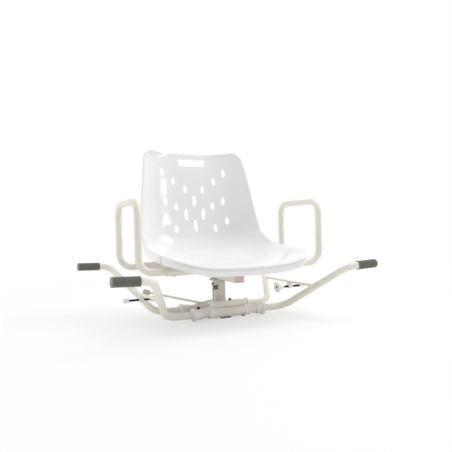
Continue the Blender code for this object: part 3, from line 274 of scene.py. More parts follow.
# The studio's panels: azimuth and height in degrees, distance, and size
PANELS = {
    "key": (88, 47, 2.3, (1.05, 0.6)),
    "strip": (45, 17, 2.6, (0.38, 0.42)),
    "fill": (60, 84, 2.1, (1.8, 1.8)),
    "spot": (-78, 48, 2.3, (0.3, 0.3)),
    "bounce": (-105, 12, 2.4, (1.5, 1.5)),
}
PANELS_TARGET = (-0.05, 0.14, 0.30)
# The room's light falls from its level times the first share to the second along this way
ROOM_DARK_WAY = (-0.40, -0.80, -0.45)
ROOM_SHARES = (1.45, 0.40)
FLOOR_RADIUS = 9.0
FLOOR_FADE = {"From Min": 0.25, "From Max": 1.7, "To Min": 0.45}
CAMERA_AT = (-0.5970, -1.3006, 0.2692)
CAMERA_YAW = math.radians(25.44)
CAMERA_PITCH = math.radians(0.17)
CAMERA_ROLL = 0.024
FOCAL_SHARE = 478.08 / 452

BOTH_SIDES = (("left", -1), ("right", 1))
BOTH_ENDS = (("front", -1), ("rear", 1))

# Kinds of number for the panel
LENGTH = {"precision": 5, "unit": "LENGTH"}
SHARE = {"max": 1.0, "subtype": "FACTOR"}
POWER = {"unit": "POWER"}


def linear(code):
    """An sRGB hex colour as linear channels: each, c, is ((c + 0.055) / 1.055) to the power 2.4."""
    channels = np.array([int(code[place:place + 2], 16) for place in (1, 3, 5)]) / 255
    return (*(((channels + 0.055) / 1.055) ** 2.4), 1.0)


def number(name, description, default, kind):
    """A number for the panel, with the unit or subtype of its kind."""
    return bpy.props.FloatProperty(name=name, description=description, default=default, min=0.0,
                                   **kind)


def colour(name, description, code):
    """A colour for the panel."""
    return bpy.props.FloatVectorProperty(name=name, description=description, default=linear(code),
                                         size=4, min=0.0, max=1.0, subtype="COLOR")


class ChairSizes(bpy.types.PropertyGroup):
    """Sizes of the detail that the solids don't carry."""
    groove: number("Groove depth", "Depth of the groove under the front lip", 0.0058, LENGTH)
    apron_set: number("Apron set-back", "How far the apron stands behind the lip", 0.0024, LENGTH)
    slit_width: number("Slit width", "Width of the slit at each end of the apron", 0.007, LENGTH)
    rib_pitch: number("Rib pitch", "From one rib of a grip to the next", 0.0022, LENGTH)
    rib_depth: number("Rib depth", "Depth of the grooves of a grip", 0.0007, LENGTH)
    thread_pitch: number("Thread pitch", "From one adjuster thread to the next", 0.00125, LENGTH)
    thread_depth: number("Thread depth", "Depth of the adjuster's thread", 0.0006, LENGTH)
    flute_depth: number("Flute depth", "Depth of the knobs' flutes over their radius", 0.05, SHARE)
    weld: number("Weld bead", "Radius of the weld beads", 0.0016, LENGTH)


class ChairFinishes(bpy.types.PropertyGroup):
    """Colours of the finishes."""
    paint: colour("Powder coat", "Cream coat on the steel tube", "#EFEBDF")
    seat: colour("Seat", "White moulded seat", "#F6F6F5")
    seat_roughness: number("Seat roughness", "Roughness of the seat's moulded face", 0.14, SHARE)
    plastic: colour("White plastic", "Collars, ferrules, knobs and plugs", "#F3F2EE")
    nylon: colour("Nylon", "Bearing washer", "#E7E3D8")
    # Painted shade: this pinkish beige, darker than the white plastic, stands for the shadow under
    # the seat
    beige: colour("Beige plastic", "Carrier plugs and lever handle", "#DDCDC1")
    rubber: colour("Grip rubber", "Ribbed grips", "#706D67")
    grip_end: colour("Grip end", "Lighter end face of a grip", "#9A9A9B")
    black_steel: colour("Black steel", "Adjuster screws", "#26221F")
    dark_steel: colour("Dark steel", "Nuts, spring and bolts", "#4A4440")
    zinc: colour("Zinc plate", "Index plate and lock pin", "#C9C9C6")
    yellow_zinc: colour("Yellow zinc", "Washers and armrest screws", "#C9A367")


class ChairStudio(bpy.types.PropertyGroup):
    """Light of the studio."""
    key: number("Key", "Power of the high softbox on the right", 13.0, POWER)
    strip: number("Strip", "Power of the tall panel on the right", 5.5, POWER)
    fill: number("Fill", "Power of the overhead panel", 7.0, POWER)
    spot: number("Spot", "Power of the small panel on the left", 1.5, POWER)
    bounce: number("Bounce", "Power of the white board on the left", 8.0, POWER)
    room: number("Room", "Strength of the pale room around", 0.72, SHARE)


def add_node(tree, kind, settings=(), values=(), links=()):
    """A node with its settings, the values of its sockets, and what is linked into them."""
    node = tree.nodes.new(kind)
    for name, value in dict(settings).items():
        setattr(node, name, value)
    for name, value in dict(values).items():
        node.inputs[name].default_value = value
    for name, source in dict(links).items():
        tree.links.new(source, node.inputs[name])
    return node


def surface(name, tint, roughness, metallic=0.0, cloud=(0.05, 0.97), spread=0.04,
            grain=(0.0015, 0.00003), second=None, streak=None):
    """A material from its colour and the sizes of its own unevenness.

    cloud is the size in metres of faint patches and how dark they go, spread is how far the
    roughness strays either way, and grain is the size and height of the fine relief. second is a
    coarser relief, and streak the spacing and height of fine lines along X, as a tool leaves them.
    """
    material = bpy.data.materials.new(name)
    material.use_nodes = True
    tree = material.node_tree
    shader = tree.nodes["Principled BSDF"]
    shader.inputs["Metallic"].default_value = metallic
    place = add_node(tree, "ShaderNodeTexCoord").outputs["Object"]
    patches = add_node(tree, "ShaderNodeTexNoise", values={"Scale": 1 / cloud[0], "Detail": 3.0},
                       links={"Vector": place}).outputs["Fac"]
    dark = [channel * cloud[1] for channel in tint[:3]] + [1.0]
    shade = add_node(tree, "ShaderNodeMix", {"data_type": "RGBA"}, {"A": dark, "B": tint},
                     {"Factor": patches})
    tree.links.new(shade.outputs["Result"], shader.inputs["Base Color"])
    gloss = add_node(tree, "ShaderNodeMapRange", (),
                     {"To Min": roughness - spread, "To Max": roughness + spread},
                     {"Value": patches})
    tree.links.new(gloss.outputs["Result"], shader.inputs["Roughness"])
    layers = [("ShaderNodeTexNoise", {}, {"Scale": 1 / grain[0], "Detail": 2.0}, grain[1])]
    if second:
        layers.append(("ShaderNodeTexNoise", {}, {"Scale": 1 / second[0], "Detail": 1.0},
                       second[1]))
    if streak:
        layers.append(("ShaderNodeTexWave", {"bands_direction": "X"},
                       {"Scale": math.tau / 20 / streak[0], "Distortion": 2.0}, streak[1]))
    under = {}
    for kind, settings, values, height in layers:
        relief = add_node(tree, kind, settings, values, {"Vector": place})
        bump = add_node(tree, "ShaderNodeBump", values={"Strength": 1.0, "Distance": height},
                        links={"Height": relief.outputs["Fac"], **under})
        under = {"Normal": bump.outputs["Normal"]}
    tree.links.new(under["Normal"], shader.inputs["Normal"])
    return material


# Each finish: the record's material slot, its colour's property, its roughness, which for the seat
# is a property too, and the rest of what surface() takes
FINISHES = {
    # Polyester powder baked on steel: satin, with the faint orange peel of its flow, 1.5 mm across
    "satin_powder_coat": ("powder_coat", "paint", 0.34, dict(
        cloud=(0.06, 0.975), spread=0.03, grain=(0.0015, 0.00002), second=(0.006, 0.00003))),
    # Injection-moulded polypropylene: high gloss, with slow sink waves about 30 mm across
    "moulded_seat": ("seat_plastic", "seat", None, dict(
        cloud=(0.12, 0.985), spread=0.02, grain=(0.0008, 0.000004), second=(0.03, 0.00008))),
    # Moulded nylon: whiter than the coat, slightly matt from the mould's spark-worn face
    "moulded_nylon_white": ("white_plastic", "plastic", 0.38, dict(
        cloud=(0.02, 0.98), grain=(0.0005, 0.00002))),
    # Natural nylon, turned: milky, with tool lines 0.3 mm apart
    "turned_nylon": ("nylon", "nylon", 0.45, dict(
        grain=(0.0006, 0.00001), streak=(0.0003, 0.00001))),
    # Moulded polyethylene in a pinkish beige darker than the white plastic, which is painted shade
    # for the shadow under the seat where these parts sit: soft sheen and a fine leather-like mould
    # grain
    "moulded_beige": ("beige_plastic", "beige", 0.48, dict(
        cloud=(0.01, 0.94), grain=(0.0007, 0.00003))),
    # Dipped vinyl rubber: matt, dusty in the hollows
    "dipped_rubber": ("grip_rubber", "rubber", 0.72, dict(
        cloud=(0.008, 0.88), spread=0.08, grain=(0.0006, 0.00006))),
    # The same rubber on the grip's domed end: paler and more matt
    "cut_rubber": ("grip_rubber", "grip_end", 0.8, dict(
        cloud=(0.004, 0.85), grain=(0.0005, 0.00008))),
    # Black oxide on rolled steel thread: oily sheen, brown where it thins
    "black_oxide": ("black_steel", "black_steel", 0.42, dict(
        metallic=0.75, cloud=(0.003, 0.7), spread=0.1, grain=(0.0005, 0.00002))),
    # Spring and bolt steel, oiled: dark with a dull gleam
    "oiled_steel": ("dark_steel", "dark_steel", 0.38, dict(
        metallic=0.9, cloud=(0.002, 0.7), spread=0.1, grain=(0.0004, 0.00002))),
    # Bright zinc plate: pale grey metal, mottled where the bath dried
    "zinc_plate": ("zinc_steel", "zinc", 0.32, dict(
        metallic=1.0, cloud=(0.003, 0.86), spread=0.08, grain=(0.0008, 0.00001))),
    # Yellow-passivated zinc: straw to amber over a few millimetres
    "yellow_zinc": ("yellow_zinc", "yellow_zinc", 0.34, dict(
        metallic=1.0, cloud=(0.0025, 0.72), spread=0.08, grain=(0.0008, 0.00001))),
}


def finish(mesh, name):
    """Gives a mesh one finish, which is made when it is first asked for."""
    if name not in bpy.data.materials:
        tints = bpy.context.scene.chair_finishes
        slot, tint, roughness, rest = FINISHES[name]
        surface(name, getattr(tints, tint), roughness or tints.seat_roughness, **rest)
    mesh.materials.clear()
    mesh.materials.append(bpy.data.materials[name])


def unit(vectors):
    """Each vector divided by its own length."""
    vectors = np.asarray(vectors, float)
    return vectors / np.linalg.norm(vectors, axis=-1, keepdims=True)


def around(steps):
    """Angles evenly round one turn."""
    return np.linspace(0, math.tau, steps, endpoint=False)


def shift(x, y, z):
    """Moves a shape."""
    return Matrix.Translation((x, y, z))


def along_x(sign=1):
    """Turns a shape made about Z so that its top points along X, outwards on that side."""
    return Matrix.Rotation(sign * math.pi / 2, 4, "Y")


def quads_of(index):
    """A quad for each square of a grid of point numbers."""
    corners = [index[:-1, :-1], index[:-1, 1:], index[1:, 1:], index[1:, :-1]]
    return np.stack(corners, axis=-1).reshape(-1, 4)


def skin(grid, wrap_rows=False, wrap_columns=True):
    """A grid of points with a quad between each point, the next in its row and the two below."""
    rows, columns = grid.shape[:2]
    index = np.arange(rows * columns).reshape(rows, columns)
    if wrap_rows:
        index = np.vstack([index, index[:1]])
    if wrap_columns:
        index = np.hstack([index, index[:, :1]])
    return grid.reshape(-1, 3), quads_of(index)


def capped(grid, first, last):
    """The skin of a tube of rings, closed at each end by a ring drawn into one point."""
    first, last = [np.broadcast_to(point, (1, grid.shape[1], 3)) for point in (first, last)]
    return skin(np.concatenate([first, grid, last]))


def polar(radius, angle, height):
    """Points (r cos a, r sin a, z)."""
    return np.stack([radius * np.cos(angle), radius * np.sin(angle),
                     np.broadcast_to(height, radius.shape)], axis=-1)


def moved(shape, matrix):
    """A shape turned and moved: the matrix's turn times each point, plus its shift."""
    points, quads = shape
    matrix = np.array(matrix)
    return points @ matrix[:3, :3].T + matrix[:3, 3], quads


def mesh_of(name, shapes):
    """One mesh from shapes of points and quads, its doubles merged and its faces outwards."""
    starts = np.cumsum([0] + [len(points) for points, _ in shapes])
    quads = [quads + start for (_, quads), start in zip(shapes, starts)]
    mesh = bpy.data.meshes.new(name)
    mesh.from_pydata(np.concatenate([points for points, _ in shapes]), [], np.concatenate(quads))
    bm = bmesh.new()
    bm.from_mesh(mesh)
    bmesh.ops.remove_doubles(bm, verts=bm.verts, dist=1e-6)
    bmesh.ops.dissolve_degenerate(bm, edges=bm.edges, dist=1e-7)
    bmesh.ops.recalc_face_normals(bm, faces=bm.faces)
    bm.to_mesh(mesh)
    bm.free()
    return mesh


def add_piece(name, shapes, finish_name, body, *replaced, place=None):
    """A visible piece on its body, from shapes that share a place or from a mesh, in its finish,
    standing for the solids that it replaces."""
    if place:
        shapes = [moved(shape, place) for shape in shapes]
    mesh = shapes if isinstance(shapes, bpy.types.Mesh) else mesh_of(name, shapes)
    mesh.shade_smooth()
    mesh.set_sharp_from_angle(angle=SHARP_ANGLE)
    finish(mesh, finish_name)
    obj = bpy.data.objects.new(name, mesh)
    bpy.context.scene.collection.objects.link(obj)
    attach(obj, body)
    if replaced:
        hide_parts(*replaced)
    return obj


def keep_node(name, finish_name):
    """A solid whose shape is right stays, in its finish."""
    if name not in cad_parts:
        raise RuntimeError(f"the frame has no node named {name}")
    finish(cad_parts[name].data, finish_name)


def eased(points, reach, steps=EASE_STEPS, closed=False):
    """A line whose corners P give way to parabolas P + (1 - t) squared a + t squared b.

    a and b lead from the corner to its neighbours and are as long as reach, or 0.45 of the side.
    """
    points = np.asarray(points, float)
    ways = [np.roll(points, step, axis=0) - points for step in (1, -1)]
    sides = [np.maximum(np.linalg.norm(way, axis=1), 1e-9) for way in ways]
    reach = np.broadcast_to(reach, len(points))
    a, b = [way * np.minimum(reach / side, 0.45)[:, None] for way, side in zip(ways, sides)]
    t = np.linspace(0, 1, steps + 1)[None, :, None]
    curve = points[:, None] + a[:, None] * (1 - t) ** 2 + b[:, None] * t ** 2
    if closed:
        return curve.reshape(-1, points.shape[1])
    return np.concatenate([points[:1], curve[1:-1].reshape(-1, points.shape[1]), points[-1:]])


def turned(profile, steps=AROUND, outline=None, closed=False):
    """A profile of (radius, height) spun about Z, with the radius times outline(angle)."""
    profile = np.asarray(profile, float)
    angle = around(steps)
    stretch = np.ones(steps) if outline is None else outline(angle)
    return skin(polar(profile[:, :1] * stretch, angle, profile[:, 1:]), wrap_rows=closed)


def ring(inner, outer, low, high, edge=0.0005, steps=AROUND):
    """A ring or tube: a closed rectangle of a profile with its corners eased, spun about Z."""
    corners = [(inner, low), (outer, low), (outer, high), (inner, high)]
    return turned(eased(corners, edge, closed=True), steps, closed=True)


def rod(radius, low, high, edge=0.0005, steps=AROUND_SMALL):
    """A round rod with eased ends, spun about Z."""
    return turned(eased([(0, low), (radius, low), (radius, high), (0, high)], edge), steps)


def hexagon(angle):
    """A hexagon's radius over its corners': cos 30 over the cosine from a flat's middle."""
    return math.cos(math.pi / 6) / np.cos(np.mod(angle, math.pi / 3) - math.pi / 6)


def hex_head(radius, low, high, chamfer=0.0006):
    """A hexagonal head or nut: a profile with its two edges cut back, times a hexagon."""
    profile = [(0, low), (radius - chamfer, low), (radius, low + chamfer / 2),
               (radius, high - chamfer / 2), (radius - chamfer, high), (0, high)]
    return turned(profile, AROUND_SMALL, hexagon)


def threaded(radius, low, high, pitch, depth, steps=AROUND_SMALL):
    """A screw thread: the radius less depth times a triangle wave of z / pitch - angle / turn."""
    count = max(int((high - low) / pitch * THREAD_ROWS), 2)
    z = np.linspace(low, high, count)[:, None]
    angle = around(steps)
    phase = np.mod(z / pitch - angle / math.tau, 1)
    groove = depth * np.abs(2 * phase - 1)
    taper = np.clip(np.minimum(z - low, high - z) / pitch, 0, 1)
    grid = polar(radius - groove * taper - (1 - taper) * depth, angle, z)
    return capped(grid, (0, 0, low), (0, 0, high))


def bent_route(corners, bends, steps=BEND_STEPS):
    """Straight runs joined by arcs. An arc's arm is its two end arms weighted by the sines of what
    is left and what is past of its sweep, over the sine of the sweep."""
    corners = np.asarray(corners, float)
    middle = corners[1:-1]
    back, ahead = unit(corners[:-2] - middle), unit(corners[2:] - middle)
    half = np.arccos(np.clip((back * ahead).sum(axis=1), -1, 1)) / 2
    bends = np.broadcast_to(bends, len(middle))
    centre = middle + unit(back + ahead) * (bends / np.sin(half))[:, None]
    reach = (bends / np.tan(half))[:, None]
    start, last = middle + back * reach - centre, middle + ahead * reach - centre
    sweep = (math.pi - 2 * half)[:, None]
    part = np.linspace(0, 1, steps + 1)
    arms = (start[:, None] * np.sin(sweep * (1 - part))[..., None]
            + last[:, None] * np.sin(sweep * part)[..., None]) / np.sin(sweep)[..., None]
    return np.concatenate([corners[:1], (arms + centre[:, None]).reshape(-1, 3), corners[-1:]])


def circles(route, radii, reference, steps):
    """A circle about each station: station + r (cos a side + sin a up), square to the way along."""
    runs = unit(np.diff(route, axis=0))
    along = unit(np.concatenate([runs[:1], runs[:-1] + runs[1:], runs[-1:]]))
    side = unit(np.cross(along, reference))
    up = np.cross(side, along)
    angle = around(steps)[:, None]
    radii = np.broadcast_to(radii, len(route))[:, None, None]
    return route[:, None] + radii * (np.cos(angle) * side[:, None] + np.sin(angle) * up[:, None])


def swept(route, radius, wall=0.0, reference=(0, 1, 0), steps=AROUND, edge=0.0006):
    """A round section carried along a route, its ends eased: the outside walked from end to end,
    and the inside walked back, or the middle of each end where there is no wall."""
    route = np.asarray(route, float)
    nose = edge * np.array([[0.0], [0.3], [1.0]])
    first, last = unit(route[1] - route[0]), unit(route[-2] - route[-1])
    stations = np.concatenate([route[0] + first * nose, route[1:-1], route[-1] + last * nose[::-1]])
    inset = np.zeros(len(stations))
    inset[:3] = edge * np.array([1.0, 0.3, 0.0])
    inset[-3:] = inset[2::-1]
    outside = circles(stations, radius - inset, reference, steps)
    if wall:
        inside = circles(stations, radius - wall + inset, reference, steps)
        return skin(np.concatenate([outside, inside[::-1]]), wrap_rows=True)
    return capped(outside, route[0], route[-1])


def bead(loop, radius, ripples):
    """A weld bead round a closed loop: a circle that swells by 12 per cent with each ripple."""
    along = unit(np.roll(loop, -1, axis=0) - np.roll(loop, 1, axis=0))
    outward = unit(loop - loop.mean(axis=0))
    side = unit(np.cross(along, outward))
    out = np.cross(side, along)
    angle = around(BEAD_STEPS)[:, None]
    wave = 1 + 0.12 * np.sin(np.linspace(0, math.tau * ripples, len(loop), endpoint=False))
    swell = (radius * wave)[:, None, None]
    grid = loop[:, None] + swell * (np.cos(angle) * out[:, None] + np.sin(angle) * side[:, None])
    return skin(grid, wrap_rows=True)


def trim_weld(y, radius):
    """A weld bead along X under a socket tube, whose radius rises and falls with each ripple."""
    run = np.linspace(-TRIM_WELD_HALF, TRIM_WELD_HALF, TRIM_WELD_STEPS)
    line = np.stack([run, np.full_like(run, y), np.full_like(run, TRIM_WELD_Z)], axis=-1)
    ripple = radius * (0.8 + 0.1 * np.sin(run / RIPPLE_PITCH * math.tau))
    return capped(circles(line, ripple, (0, 0, 1), BEAD_STEPS), line[0], line[-1])


def block(size, centre=(0, 0, 0), edge=0.001, steps=4):
    """A block with round edges: a ball of the edge's radius, with each eighth of it moved out to
    its corner, and the flat ends closed at their middles."""
    quarter = np.linspace(0, math.pi / 2, steps + 1)
    angle = np.concatenate([quarter + turn * math.pi / 2 for turn in range(4)])
    turn = np.repeat(np.arange(4), steps + 1)
    tilt = np.concatenate([quarter - math.pi / 2, quarter])[:, None]
    level = np.repeat([-1.0, 1.0], steps + 1)[:, None]
    half = np.array(size) / 2 - edge
    x = edge * np.cos(tilt) * np.cos(angle) + np.where((turn == 0) | (turn == 3), 1, -1) * half[0]
    y = edge * np.cos(tilt) * np.sin(angle) + np.where(turn < 2, 1, -1) * half[1]
    z = np.broadcast_to(edge * np.sin(tilt) + level * half[2], x.shape)
    ends = [np.array([0.0, 0.0, way * size[2] / 2]) for way in (-1, 1)]
    points, quads = capped(np.stack([x, y, z], axis=-1), *ends)
    return points + np.array(centre), quads


def prism(outline, low, high):
    """A closed outline carried straight from one level to another, its ends closed at their
    middles."""
    rows = np.stack([np.column_stack([outline, np.full(len(outline), z)]) for z in (low, high)])
    return capped(rows, *rows.mean(axis=1))


def cut(name, mesh, cutters):
    """A mesh with closed shapes cut out of it, in one boolean."""
    obj = bpy.data.objects.new(name, mesh)
    knife = bpy.data.objects.new(name + "_knife", mesh_of(name + "_knife", cutters))
    for helper in (obj, knife):
        bpy.context.scene.collection.objects.link(helper)
    modifier = obj.modifiers.new("Cut", "BOOLEAN")
    modifier.operation = "DIFFERENCE"
    modifier.solver = "MANIFOLD"
    modifier.object = knife
    graph = bpy.context.evaluated_depsgraph_get()
    result = bpy.data.meshes.new_from_object(obj.evaluated_get(graph), depsgraph=graph)
    if len(result.vertices) <= len(mesh.vertices) // 2:
        raise RuntimeError(f"cutting {name} lost its surface")
    for helper in (obj, knife):
        bpy.data.objects.remove(helper)
    return result


def smooth_through(values, positions):
    """Values between stations on the cubic that passes through each, with slopes of half the step
    between its neighbours."""
    values = np.asarray(values, float)
    index = np.clip(np.floor(positions).astype(int), 0, len(values) - 2)
    past = (positions - index)[:, None]
    before, here = values[np.maximum(index - 1, 0)], values[index]
    ahead, beyond = values[index + 1], values[np.minimum(index + 2, len(values) - 1)]
    rise, fall = (ahead - before) / 2, (beyond - here) / 2
    cubic = 2 * here - 2 * ahead + rise + fall
    square = 3 * ahead - 3 * here - 2 * rise - fall
    return ((cubic * past + square) * past + rise) * past + here


def evened(values, passes):
    """Rows eased by adding half of each neighbour and halving, with the first and last kept."""
    for _ in range(passes):
        values = np.concatenate([values[:1], (values[:-2] + 2 * values[1:-1] + values[2:]) / 4,
                                 values[-1:]])
    return values


def seat_face():
    """The sitter's side of the seat. A row runs across it: with u from -1 to 1, X is u times the
    rim's half-width, and Y and Z leave the centre line for the rim with |u| to the power 3.3. Near
    the top of the back u stops short by R - the root of R squared - (R - drop) squared, a round
    corner."""
    stations = smooth_through(SHELL_SECTIONS, np.linspace(0, len(SHELL_SECTIONS) - 1, SEAT_ROWS))
    stations = evened(stations, SEAT_PASSES)
    even = np.linspace(-1, 1, SEAT_COLUMNS + 1)
    across = RIM_CROWDING * np.sin(even * math.pi / 2) + (1 - RIM_CROWDING) * even
    centre_y, centre_z, share_x, rim_y, rim_z, _ = stations.T[:, :, None]
    short = np.clip(1 - (rim_z[0] - rim_z) / BACK_CORNER_RADIUS, 0, 1)
    inset = BACK_CORNER_RADIUS * (1 - np.sqrt(1 - short ** 2))
    across = across * (1 - inset / (share_x * RIM_HALF_WIDTH))
    rise = np.abs(across) ** CROWN_POWER
    grid = np.stack([across * share_x * RIM_HALF_WIDTH, centre_y + (rim_y - centre_y) * rise,
                     PAN_Z + centre_z + (rim_z - centre_z) * rise], axis=-1)
    return round_front(grid), stations[:, 5]


def rim_of(grid):
    """The grid's border as one closed loop, from the top's left corner."""
    return np.concatenate([grid[0, :-1], grid[:-1, -1], grid[-1, :0:-1], grid[:0:-1, 0]])


def round_front(grid):
    """The grid with its front corners rounded: the rim's own shift towards its evened line, carried
    inwards from each side and from the front with (1 - distance) squared, less what both count."""
    rows, columns = grid.shape[0], grid.shape[1] - 1
    loop = even = rim_of(grid)
    for _ in range(FRONT_PASSES):
        even = (np.roll(even, 1, axis=0) + 2 * even + np.roll(even, -1, axis=0)) / 4
    start, fade = FRONT_CORNERS_Y
    change = (even - loop) * np.clip((start - loop[:, 1:2]) / fade, 0, 1)
    right = change[columns:columns + rows]
    front = change[columns + rows - 1:2 * columns + rows][::-1]
    left = np.concatenate([change[:1], change[2 * columns + rows - 1:][::-1]])
    by_left = (np.clip(1 - np.arange(columns + 1) / FRONT_REACH, 0, 1) ** 2)[None, :, None]
    by_right = by_left[:, ::-1]
    by_front = (np.clip(1 - np.arange(rows)[::-1] / FRONT_REACH, 0, 1) ** 2)[:, None, None]
    sides = by_left * left[:, None] + by_right * right[:, None]
    twice = by_front * (by_left * left[-1] + by_right * right[-1])
    return grid + sides + by_front * front[None] - twice


def seat_rim(grid, depths):
    """The rim as a closed loop, the ways outwards and under the seat at each point, and the
    depth."""
    loop = rim_of(grid)
    columns = grid.shape[1] - 1
    depth = np.concatenate([np.full(columns, depths[0]), depths[:-1],
                            np.full(columns, depths[-1]), depths[:0:-1]])
    run = np.gradient(grid[:, columns // 2], axis=0)
    under = unit(np.stack([np.zeros(len(run)), -run[:, 2], run[:, 1]], axis=-1))
    lip = len(run) // LIP_PART
    under[-lip:] = under[-lip - 1]
    ways = np.concatenate([np.repeat(under[:1], columns, 0), under[:-1],
                           np.repeat(under[-1:], columns, 0), under[:0:-1]])
    along = unit(np.roll(loop, -1, axis=0) - np.roll(loop, 1, axis=0))
    out = loop - np.concatenate([grid[1, :-1], grid[:-1, -2], grid[-2, :0:-1], grid[:0:-1, 1]])
    out = unit(out - along * (out * along).sum(axis=1, keepdims=True)) + unit(np.cross(along, ways))
    for _ in range(RIM_PASSES):
        out = unit(np.roll(out, 1, axis=0) + 2 * out + np.roll(out, -1, axis=0))
    return loop, out, ways, depth


def softened(points, quads, near):
    """A sheet with some of its points eased, as points, their normals and quads that face up."""
    sheet = bpy.data.meshes.new("seat_sheet")
    sheet.from_pydata(points, [], quads)
    bm = bmesh.new()
    bm.from_mesh(sheet)
    bm.verts.ensure_lookup_table()
    soft = [bm.verts[i] for i in near]
    for _ in range(SOFT_PASSES):
        bmesh.ops.smooth_vert(bm, verts=soft, factor=0.5, use_axis_x=True, use_axis_y=True,
                              use_axis_z=True)
    bmesh.ops.recalc_face_normals(bm, faces=bm.faces)
    if sum(face.normal.z for face in bm.faces) < 0:
        bmesh.ops.reverse_faces(bm, faces=bm.faces)
    bm.to_mesh(sheet)
    bm.free()
    points, normals = np.empty((2, len(sheet.vertices) * 3))
    quads = np.empty(len(sheet.loops), int)
    sheet.vertices.foreach_get("co", points)
    sheet.vertex_normals.foreach_get("vector", normals)
    sheet.loops.foreach_get("vertex_index", quads)
    return points.reshape(-1, 3), normals.reshape(-1, 3), quads.reshape(-1, 4)


def seat_mesh(sizes):
    """The seat as two sheets a wall apart: its face with a rim flange that rolls outwards in a
    quarter ellipse and drops, and the same sheet moved in along its normals. A groove follows the
    front lip: it goes in by its depth times a bell of the height, and fades along the rim to the
    slits."""
    grid, depths = seat_face()
    loop, out, ways, depth = seat_rim(grid, depths)
    roll = np.linspace(0, math.pi / 2, ROLL_STEPS)[1:, None, None]
    drop = np.linspace(0, 1, DROP_STEPS)[1:, None, None]
    outward = FLANGE_OUT * np.concatenate([np.sin(roll), 1 + 0 * drop])
    rolled = ROLL_DROP * (1 - np.cos(roll)) + 0 * depth[:, None]
    down = np.concatenate([rolled, ROLL_DROP + (depth[:, None] - ROLL_DROP) * drop])
    flange = loop + out * outward + ways * down
    face, quads = skin(grid, wrap_columns=False)
    index = np.arange(len(face)).reshape(grid.shape[:2])
    rings = np.arange(flange[..., 0].size).reshape(flange.shape[:2]) + len(face)
    rings = np.concatenate([rim_of(index)[None], rings])
    strip = quads_of(np.hstack([rings, rings[:, :1]]))[:, [0, 3, 2, 1]]
    near = [index[:SOFT_ROWS], index[-SOFT_ROWS:], index[:, :SOFT_ROWS], index[:, -SOFT_ROWS:],
            rings[1:SOFT_ROWS + 2]]
    points, normals, quads = softened(
        np.concatenate([face, flange.reshape(-1, 3)]), np.concatenate([quads[:, ::-1], strip]),
        np.unique(np.concatenate([part.ravel() for part in near])))

    start, fade = GROOVE_FADE_Y
    front = np.clip((start - loop[:, 1]) / fade, 0, 1)
    front = front * front * (3 - 2 * front)
    past = down[:, :, 0] / depth - GROOVE_LEVEL
    dip = np.exp(-(past / GROOVE_SPREAD) ** 2)
    sink = np.zeros((len(points), 1))
    sink[rings[1:], 0] = front * (sizes.groove * dip
                                  + sizes.apron_set * np.clip(past / APRON_RUN, 0, 1))
    inner = points - normals * (SHELL_WALL + INNER_SINK_SHARE * sink)
    edge = np.append(rings[-1], rings[-1, 0])
    brim = quads_of(np.stack([edge, edge + len(points)]))
    quads = np.concatenate([quads, quads[:, ::-1] + len(points), brim])
    return mesh_of("seat_shell_skin", [(np.concatenate([points - normals * sink, inner]), quads)])


def seat_cutters(sizes):
    """Shapes through the back for its oval drains and handle slot, and for the apron's slits."""
    upright = Matrix.Rotation(math.pi / 2, 4, "X")
    cutters = []
    for x, z, tall in DRAINS:
        oval = rod(DRAIN_WIDTH / 2, -CUT_REACH, CUT_REACH, steps=36)
        stretch = Matrix.Diagonal((1, tall / DRAIN_WIDTH, 1, 1))
        for sign in (-1, 1) if x else (1,):
            cutters.append(moved(oval, shift(sign * x, BACK_Y, z) @ upright @ stretch))
    wide, tall = SLOT_HALF_WIDTH, (SLOT_LEVELS[1] - SLOT_LEVELS[0]) / 2
    outline = eased([(wide, tall), (-wide, tall), (SLOT_TAPER - wide, -tall),
                     (wide - SLOT_TAPER, -tall)], SLOT_CORNERS, 10, closed=True)
    slot_at = shift(0, BACK_Y, sum(SLOT_LEVELS) / 2) @ upright
    cutters.append(moved(prism(outline, -CUT_REACH, CUT_REACH), slot_at))
    x, y, z = SLIT_AT
    for sign in (-1, 1):
        size = (SLIT_LENGTH, sizes.slit_width, SLIT_HEIGHT)
        cutters.append(block(size, (sign * x, y, z), 0.0024))
    return cutters


class CHAIR_OT_seat(bpy.types.Operator):
    """Build the moulded bucket seat and the bosses under it"""
    bl_idname = "bath_chair.seat"
    bl_label = "Seat"
    bl_options = {"REGISTER", "UNDO"}

    def execute(self, context):
        sizes = context.scene.chair_sizes
        seat = cut("seat_shell_skin", seat_mesh(sizes), seat_cutters(sizes))
        add_piece("seat_moulding", seat, "moulded_seat", "seat", "seat_shell")
        bosses = []
        for end, y in SOCKET_YS.items():
            foot, top = SEAT_BOSS_FOOT, SEAT_BOSS_TOPS[end]
            boss = turned(eased([(0, foot), (0.0092, foot), (0.0095, top - 0.002), (0.013, top),
                                 (0, top)], 0.0008))
            for side, sign in BOTH_SIDES:
                bosses.append(moved(boss, shift(sign * SEAT_BOLT_X, y, 0)))
                keep_node(f"{end}_{side}_seat_bolt", "zinc_plate")
        add_piece("seat_bosses", bosses, "moulded_seat", "seat")
        return {"FINISHED"}


class CHAIR_OT_armrests(bpy.types.Operator):
    """Build the two bent armrest hoops"""
    bl_idname = "bath_chair.armrests"
    bl_label = "Armrests"
    bl_options = {"REGISTER", "UNDO"}

    def execute(self, context):
        rise = [(REST_INNER_END, SOCKET_Z), (REST_X, SOCKET_Z), (REST_X, REST_TOP_Z)]
        for side, sign in BOTH_SIDES:
            corners = ([(sign * x, SOCKET_YS["front"], z) for x, z in rise]
                       + [(sign * x, SOCKET_YS["rear"], z) for x, z in rise[::-1]])
            hoop = swept(bent_route(corners, REST_BEND), REST_RADIUS, REST_WALL, (1, 1, 1))
            add_piece(side + "_armrest_hoop", [hoop], "satin_powder_coat", side + "_armrest",
                      side + "_armrest")
        return {"FINISHED"}


